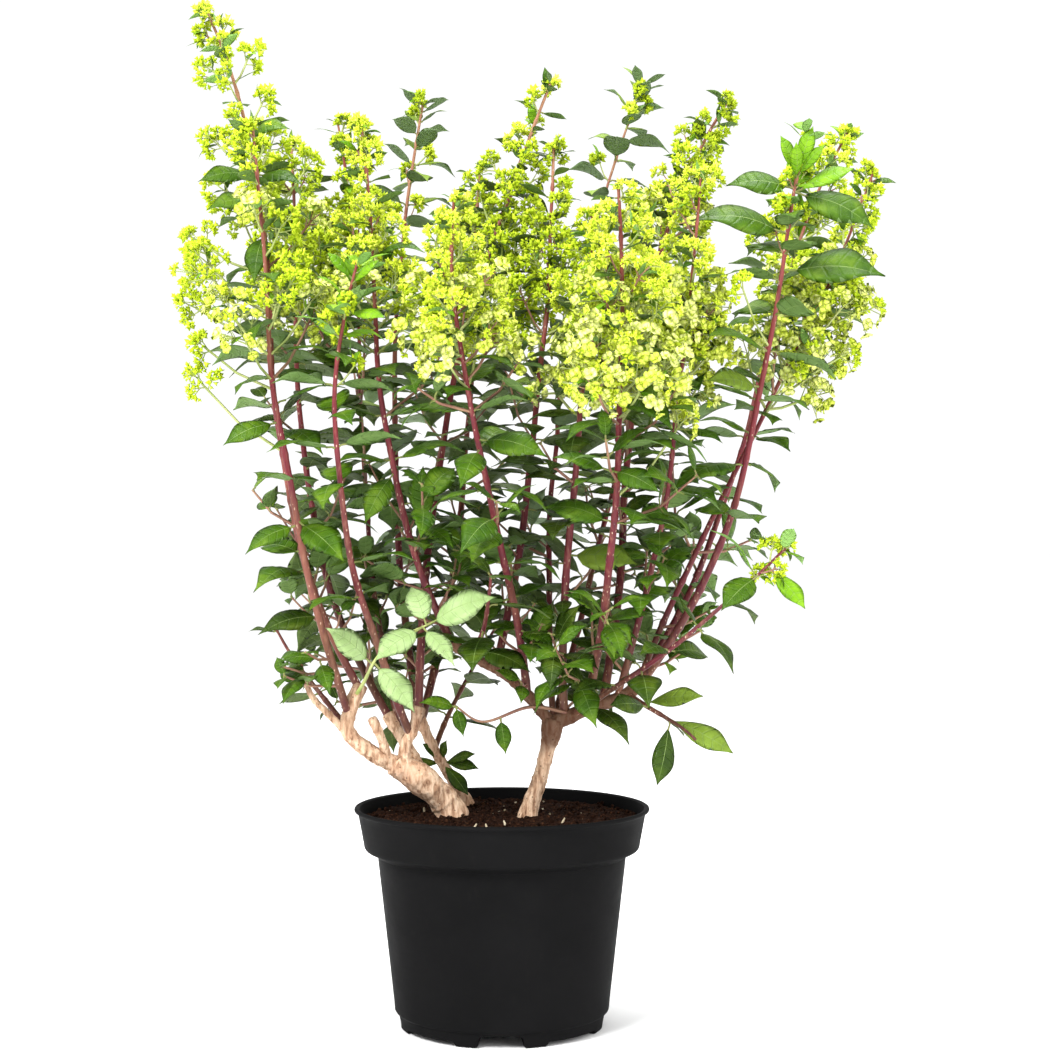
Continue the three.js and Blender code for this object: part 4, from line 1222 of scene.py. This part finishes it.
plain = {name: grainMaterial(name, *row) for name, row in finishes.items()}
for tone, look in leafLooks.items():
    netting = look.get("netting", leafNetting)
    face = leafMaterial(f"leafFace_{tone}", look["face"], look["vein"], netting=netting)
    coat = [face, leafMaterial(f"leafBack_{tone}", look["back"], look["vein"], backGloss), plain["leafRib"]]
    scatterPiece("leaves", "leaf", tone, *coat)
    scatterPiece("bracts", "bract", tone, *coat)
# The heart colour on the top faces of each bud is painted shade
heart = plain["budHeart"]
for tone in budTones:
    scatterPiece("buds", "tuft", tone, plain[f"buds_{tone}"], heart, heart)
for tone in floretTones:
    petal = plain[f"florets_{tone}"]
    scatterPiece("florets", "floret", tone, petal, petal, plain["buds_lime"])
for tone in ("petiole", "stalkGreen", "stalkPink"):
    stickPiece(f"{tone}s", tone, 4, plain[f"{tone}Skin"])


# Shoots and old wood
grain = {"around": 3, "along": 45, "scale": 1.3, "fine": 420}
bark = {
    "sides": 36, "step": 0.0014, "fibre": 0.08, "lump": 0.11, "lumpScale": 90, "fine": 0.0004, "dome": 0.35,
    "slim": 0.8, "ring": 0.0006, "ringGap": 0.017, "knobWidth": 0.14, "turn": 7.3,
}
shootSkin = {
    "sides": 12, "step": 0.0045, "fibre": 0.03, "lump": 0.03, "lumpScale": 90, "fine": 0.0001, "dome": 0.5,
    "joint": 0.0007, "jointGap": 0.04, "upperJoint": 0.8, "twigJoint": 0.6, "turn": 3.1,
}


def relief(point, scale, seed):
    return noise.noise(Vector(point) * scale + Vector((seed, 0, 0)))


def woodSkin(path, radiusAt, look, seed):
    rings, sides = max(3, round(path["total"] / look["step"])), look["sides"]
    vertices = []
    for i in range(rings + 1):
        share = i / rings
        at, along, back, right = frameAt(path, share)
        base = radiusAt(share)
        for k in range(sides):
            angle = 2 * math.pi * k / sides
            direction = between(back, right, angle)
            place = at + direction * base
            around = [math.cos(angle) * grain["around"], math.sin(angle) * grain["around"]]
            fibre = relief([*around, share * path["total"] * grain["along"]], grain["scale"], seed)
            lump, fine = relief(place, look["lumpScale"], seed), relief(place, grain["fine"], seed)
            radius = base * (1 + look["fibre"] * fibre + look["lump"] * lump) + look["fine"] * fine
            vertices.append(at + direction * radius)
    faces = ringFaces(rings, sides)
    for ring, outward in ((0, -1), (rings, 1)):
        first, share = ring * sides, ring / rings
        at, along, back, right = frameAt(path, share)
        vertices.append(at + along * outward * radiusAt(share) * look["dome"])
        for k in range(sides):
            pair = (first + k, first + (k + 1) % sides)
            faces.append([*pair[::outward], len(vertices) - 1])
    return vertices, faces


def woodPiece(name, parts, material):
    vertices, faces = [], []
    for part in parts:
        addPart(vertices, faces, *part)
    thing = objectOf(name, vertices, faces)
    dress(thing, material)
    return thing


def limbRadius(row, path):
    foot, tip = (radius * bark["slim"] for radius in row["radii"])
    place, swell = row["knob"]

    def radiusAt(share):
        rings = bark["ring"] * max(0, math.cos(share * path["total"] * 2 * math.pi / bark["ringGap"])) ** 8
        knob = swell * math.exp(-((share - place) / bark["knobWidth"]) ** 2)
        return foot + (tip - foot) * share + row["flare"] * (1 - share) ** 5 + knob + rings

    return radiusAt


def shootRadius(mass):
    length, scale, look = mass["path"]["total"], mass["thickness"], shootSkin

    def radiusAt(share):
        joint = look["joint"] * max(0, math.cos((1 - share) * length * 2 * math.pi / look["jointGap"])) ** 24
        if mass["low"]:
            foot, tip = twigRadii.values()
            return foot + (tip - foot) * share + joint * look["twigJoint"]
        foot, top, tip = shootRadii.values()
        if share < boughShare:
            return (foot + (top - foot) * share / boughShare) * scale + joint
        beyond = (share - boughShare) / (1 - boughShare)
        return (top + (tip - top) * beyond) * scale + joint * look["upperJoint"]

    return radiusAt


oldWood = woodPiece("oldWood", [
    woodSkin(woodPaths[name], limbRadius(row, woodPaths[name]), bark, index * bark["turn"])
    for index, (name, row) in enumerate(oldWoods.items())], barkMaterial())
redShoots = woodPiece("redShoots", [
    woodSkin(mass["path"], shootRadius(mass), shootSkin, mass["index"] * shootSkin["turn"])
    for mass in masses if mass["leaf"] != "pale"], shootMaterial())
print("wood made")

# Pot: a turned shell with a rolled lip and a notched foot
pot = {
    "height": 0.192, "wall": 0.0022, "lipRadius": 0.13, "lipDepth": 0.004,
    "bandTopRadius": 0.1265, "bandBottomRadius": 0.1215, "bandBottom": 0.1545,
    "bodyTopRadius": 0.1095, "bodyBottomRadius": 0.0945, "bodyBottom": 0.016,
    "footRadius": 0.09, "footWidth": 0.008, "floorHeight": 0.009, "hubRadius": 0.032,
    "sides": 240, "sharpFrom": 38,
}
notch = {
    "half": 0.0205, "height": 0.011, "edge": 0.0022, "padHalf": 0.029, "padHeight": 0.0035, "top": 0.0112,
    "below": 0.0116,
}


def arc(centre, radius, start, end, count):
    return [(centre[0] + radius * math.cos(a), centre[1] + radius * math.sin(a))
            for a in np.radians(np.linspace(start, end, count))]


def line(start, end, count):
    return [tuple(v) for v in np.linspace(start, end, count)]


# Radius and height from the middle of the underside out, up and back in to the middle of the floor
def potProfile():
    height, wall, foot = pot["height"], pot["wall"], pot["footRadius"]
    lipBottom, heel, band = height - pot["lipDepth"], foot - pot["footWidth"], pot["bandBottom"]
    bandTop, bandLow = pot["bandTopRadius"], pot["bandBottomRadius"]
    return [
        (0.0, 0.0), (pot["hubRadius"], 0.0), (pot["hubRadius"] + 0.003, pot["floorHeight"]),
        (heel - 0.001, pot["floorHeight"]), (heel, 0.0),
        *arc((foot - 0.0015, 0.0015), 0.0015, -90, 0, 4),
        (foot + 0.0004, 0.004), (foot + 0.0008, 0.008), (foot + 0.0012, 0.0115),
        *arc((pot["bodyBottomRadius"] - 0.0035, pot["bodyBottom"]), 0.0035, -70, 0, 5),
        *line((pot["bodyBottomRadius"] + 0.0005, 0.022), (pot["bodyTopRadius"], band - 0.005), 16),
        *arc((bandLow - 0.005, band + 0.0045), 0.005, -95, -5, 7),
        *line((bandLow + 0.0006, band + 0.008), (bandTop, lipBottom - 0.002), 7),
        *arc((pot["lipRadius"] - 0.002, height - 0.002), 0.002, -90, 90, 9),
        (bandTop - 0.001, height - 0.0012), (bandTop - wall, lipBottom - 0.001),
        *line((bandTop - wall - 0.0005, soilLevel), (bandLow - wall, band + 0.005), 5),
        (pot["bodyTopRadius"] - wall, band), (pot["bodyBottomRadius"] - wall, 0.02), (0.0, 0.0115),
    ]


def notchRise(angle):
    along = abs((angle + math.pi / 4) % (math.pi / 2) - math.pi / 4) * pot["footRadius"]
    past = max(0, (along - notch["half"] + notch["edge"]) / notch["edge"])
    arch = notch["height"] * max(0, 1 - past ** 1.5)
    arch *= math.cos(min(along / notch["half"], 1) * 0.6)
    beside = abs(angle % (math.pi / 2) - math.pi / 4) * pot["footRadius"]
    return max(arch, notch["padHeight"] if beside < notch["padHalf"] else 0)


def onCircle(radius, k, sides):
    angle = 2 * math.pi * k / sides
    return radius * math.cos(angle), radius * math.sin(angle)


def makePot():
    profile, sides = potProfile(), pot["sides"]
    low = pot["footRadius"] - pot["footWidth"] - 0.0012
    vertices = []
    for radius, height in profile:
        for k in range(sides):
            z = height
            if radius > low and height < notch["below"]:
                z = max(height, min(notchRise(2 * math.pi * k / sides), notch["top"]))
            vertices.append((*onCircle(radius, k, sides), z))
    return objectOf("potShell", vertices, ringFaces(len(profile) - 1, sides))


def potMaterial():
    material, tree, shader, place = startMaterial("blackPlastic")
    colour = ramp(tree, noiseOn(tree, place, 9.0, 4.0), [
        (0.35, (0.0052, 0.0052, 0.0054)), (0.7, (0.0075, 0.0074, 0.0077))])
    dust = noiseOn(tree, place, 160.0, 4.0, (1, 1, 0.4))
    colour = veil(tree, colour, (0.02, 0.018, 0.016), dust, 0.6, 0.82, 0.15)
    wave = {"Vector": place, "Scale": 55.0, "Distortion": 0.6, "Detail": 1.0}
    rings = outOf(tree, "ShaderNodeTexWave", wave, "Fac", wave_type="BANDS", bands_direction="Z")
    pits = noiseOn(tree, place, 1500.0, 2.0)
    normal = bumpOn(tree, pits, 0.00015, 0.35, bumpOn(tree, rings, 0.0002, 0.12))
    rough = ramp(tree, noiseOn(tree, place, 35.0, 4.0), [(0.3, (0.52,)), (0.7, (0.64,))])
    finishMaterial(tree, shader, colour, normal, rough, 0.02)
    return material


def finishShell(thing, material):
    work = bmesh.new()
    work.from_mesh(thing.data)
    bmesh.ops.remove_doubles(work, verts=work.verts, dist=1e-6)
    bmesh.ops.recalc_face_normals(work, faces=work.faces)
    work.to_mesh(thing.data)
    work.free()
    dress(thing, material)
    return thing


potShell = finishShell(makePot(), potMaterial())
potShell.data.set_sharp_from_angle(angle=math.radians(pot["sharpFrom"]))

# Soil: a lumpy surface with a low mound, crumbs on it and the cut ends of roots
soil = {
    "rings": 70, "sides": 220, "height": 0.003, "coarse": 95, "fine": 330, "fineHeight": 0.0009,
    "sunk": 0.001, "depth": 0.018, "gap": 0.0006, "mound": 0.0025, "moundX": 0.03, "moundWidth": 0.003,
}


def soilRadius(height):
    low = pot["bandBottom"] + 0.005
    share = (height - low) / (pot["height"] - pot["lipDepth"] - low)
    return mix([pot["bandBottomRadius"], pot["bandTopRadius"]], share) - pot["wall"] - soil["gap"]


def soilHeight(x, y):
    place = Vector((x, y, 0))
    mound = soil["mound"] * math.exp(-((x + soil["moundX"]) ** 2 + y ** 2) / soil["moundWidth"])
    lumps = noise.fractal(place * soil["coarse"], 1.0, 2.0, 4) * soil["height"]
    return soilLevel - soil["sunk"] + mound + lumps + noise.noise(place * soil["fine"]) * soil["fineHeight"]


def makeSoil():
    rings, sides, bottom = soil["rings"], soil["sides"], soilLevel - soil["depth"]
    rims = [(soilRadius(soilLevel) * i / rings, None) for i in range(1, rings + 1)]
    vertices = [(0, 0, soilHeight(0, 0))]
    for radius, height in [*rims, (soilRadius(bottom), bottom), (0, bottom)]:
        for k in range(sides):
            x, y = onCircle(radius, k, sides)
            vertices.append((x, y, soilHeight(x, y) if height is None else height))
    faces = [[0, 1 + k, 1 + (k + 1) % sides] for k in range(sides)]
    faces += [[1 + face[corner] for corner in (0, 3, 2, 1)] for face in ringFaces(rings + 1, sides)]
    return objectOf("pottingSoil", vertices, faces)


def crumbForm(random):
    work = bmesh.new()
    bmesh.ops.create_icosphere(work, subdivisions=1, radius=1)
    vertices = [v.co * random.uniform(0.55, 1.25) for v in work.verts]
    faces = [[v.index for v in f.verts] for f in work.faces]
    work.free()
    return vertices, faces, [0] * len(faces), None


pottingSoil = finishShell(makeSoil(), plain["darkPeat"])

crumbs = {
    "count": 1900, "size": [0.0006, 0.0026], "pale": 0.03, "paleSize": 0.6, "forms": 4, "within": 0.985,
    "seed": 77,
}
random = Random(crumbs["seed"])
makeTemplates("crumb", [crumbForm(random) for _ in range(crumbs["forms"])])
for _ in range(crumbs["count"]):
    radius = soilRadius(soilLevel) * crumbs["within"] * math.sqrt(random.random())
    angle = random.uniform(0, 2 * math.pi)
    x, y = radius * math.cos(angle), radius * math.sin(angle)
    size = mix(crumbs["size"], random.random() ** 2.5)
    out = unit(np.array([random.uniform(-1, 1) for _ in range(3)]))
    up = unit(np.cross(out, np.array([0.1, 0.3, 1])))
    tone = "pale" if random.random() < crumbs["pale"] else "dark"
    if tone == "pale":
        size *= crumbs["paleSize"]
    place = np.array([x, y, soilHeight(x, y) + size * 0.35])
    addSpot("crumb", tone, place, out, up, size, random.randrange(crumbs["forms"]))
for tone, name in (("dark", "darkPeat"), ("pale", "paleGrain")):
    scatterPiece("crumbs", "crumb", tone, *[plain[name]] * 3)

rootStubs = {
    "places": [(-0.024, -0.06), (-0.012, -0.064), (0.004, -0.052), (0.052, -0.03), (-0.07, 0.03)],
    "height": 0.006, "radii": [0.0011, 0.001, 0.0006], "lean": [0.0015, 0.001], "buried": 0.002,
}
for index, (x, y) in enumerate(rootStubs["places"]):
    foot = np.array([x, y, soilHeight(x, y) - rootStubs["buried"]])
    lean = np.array([rootStubs["lean"][0] * math.cos(index * 2), rootStubs["lean"][1], 0])
    middle = foot + lean + [0, 0, rootStubs["height"] * 0.6]
    addStick("root", [foot, middle, foot + 2 * lean + [0, 0, rootStubs["height"]]], rootStubs["radii"])
stickPiece("rootStubs", "root", 8, plain["paleRoot"])
print("pot and soil made")

for group in templates.values():
    for thing in list(group.objects):
        bpy.data.objects.remove(thing)
    bpy.data.collections.remove(group)

finishPiece(oldWood, "old_bark", *oldWoods)
finishPiece(redShoots, "red_shoot", *[f"bough_{name}" for name in shoots])
finishPiece(potShell, "pot_plastic", "pot")
finishPiece(pottingSoil, "potting_soil", "soil")
for piece in pieces:
    label, _, tone = piece.name.partition("_")
    replaced = [mass["name"] if mass["low"] else f"crown_{mass['name']}" for mass in masses
                if label == "leaves" and mass["leaf"] == tone]
    finishPiece(piece, "potting_soil" if label in ("crumbs", "rootStubs") else "foliage", *replaced)

# Stage, light and camera
half, low = 30.0, -0.0004
corners = [(-half, -half, low), (half, -half, low), (half, half, low), (-half, half, low)]
floor = objectOf("floor", corners, [(0, 1, 2, 3)])
material, tree, shader, place = startMaterial("paleFloor")
colour = ramp(tree, noiseOn(tree, place, 3.0), [(0.3, (0.95, 0.95, 0.95)), (0.7, (0.97, 0.97, 0.97))])
finishMaterial(tree, shader, colour, bumpOn(tree, noiseOn(tree, place, 300.0), 0.0001, 0.05), 0.75, 0.5)
floor.data.materials.append(material)

lights = {
    "key": {"place": (-1.6, -2.2, 2.6), "size": 1.0, "power": 142},
    "fill": {"place": (2.4, -2.0, 1.4), "size": 2.0, "power": 48},
    "top": {"place": (0.2, 0.4, 3.0), "size": 1.4, "power": 85},
}
aim = Vector((0.0, 0.0, 0.5))
for name, look in lights.items():
    data = bpy.data.lights.new(name, "AREA")
    data.energy, data.size = look["power"], look["size"]
    lamp = addObject(name, data, look["place"])
    lamp.rotation_euler = (aim - lamp.location).to_track_quat("-Z", "Y").to_euler()

scene = bpy.context.scene
scene.world = bpy.data.worlds.new("paleRoom")
scene.world.use_nodes = True
tree = scene.world.node_tree
setInputs(tree, tree.nodes["Background"], {"Color": (1, 1, 1, 1), "Strength": 1.06})
scene.view_settings.view_transform = "Standard"

view = {"place": (0.0203, -1.8025, 0.4397), "lens": 70.0, "sensor": 36.0}
data = bpy.data.cameras.new("camera")
data.lens, data.sensor_width = view["lens"], view["sensor"]
scene.camera = addObject("camera", data, view["place"])
scene.camera.rotation_euler = (math.pi / 2, 0, 0)
print("stage set")
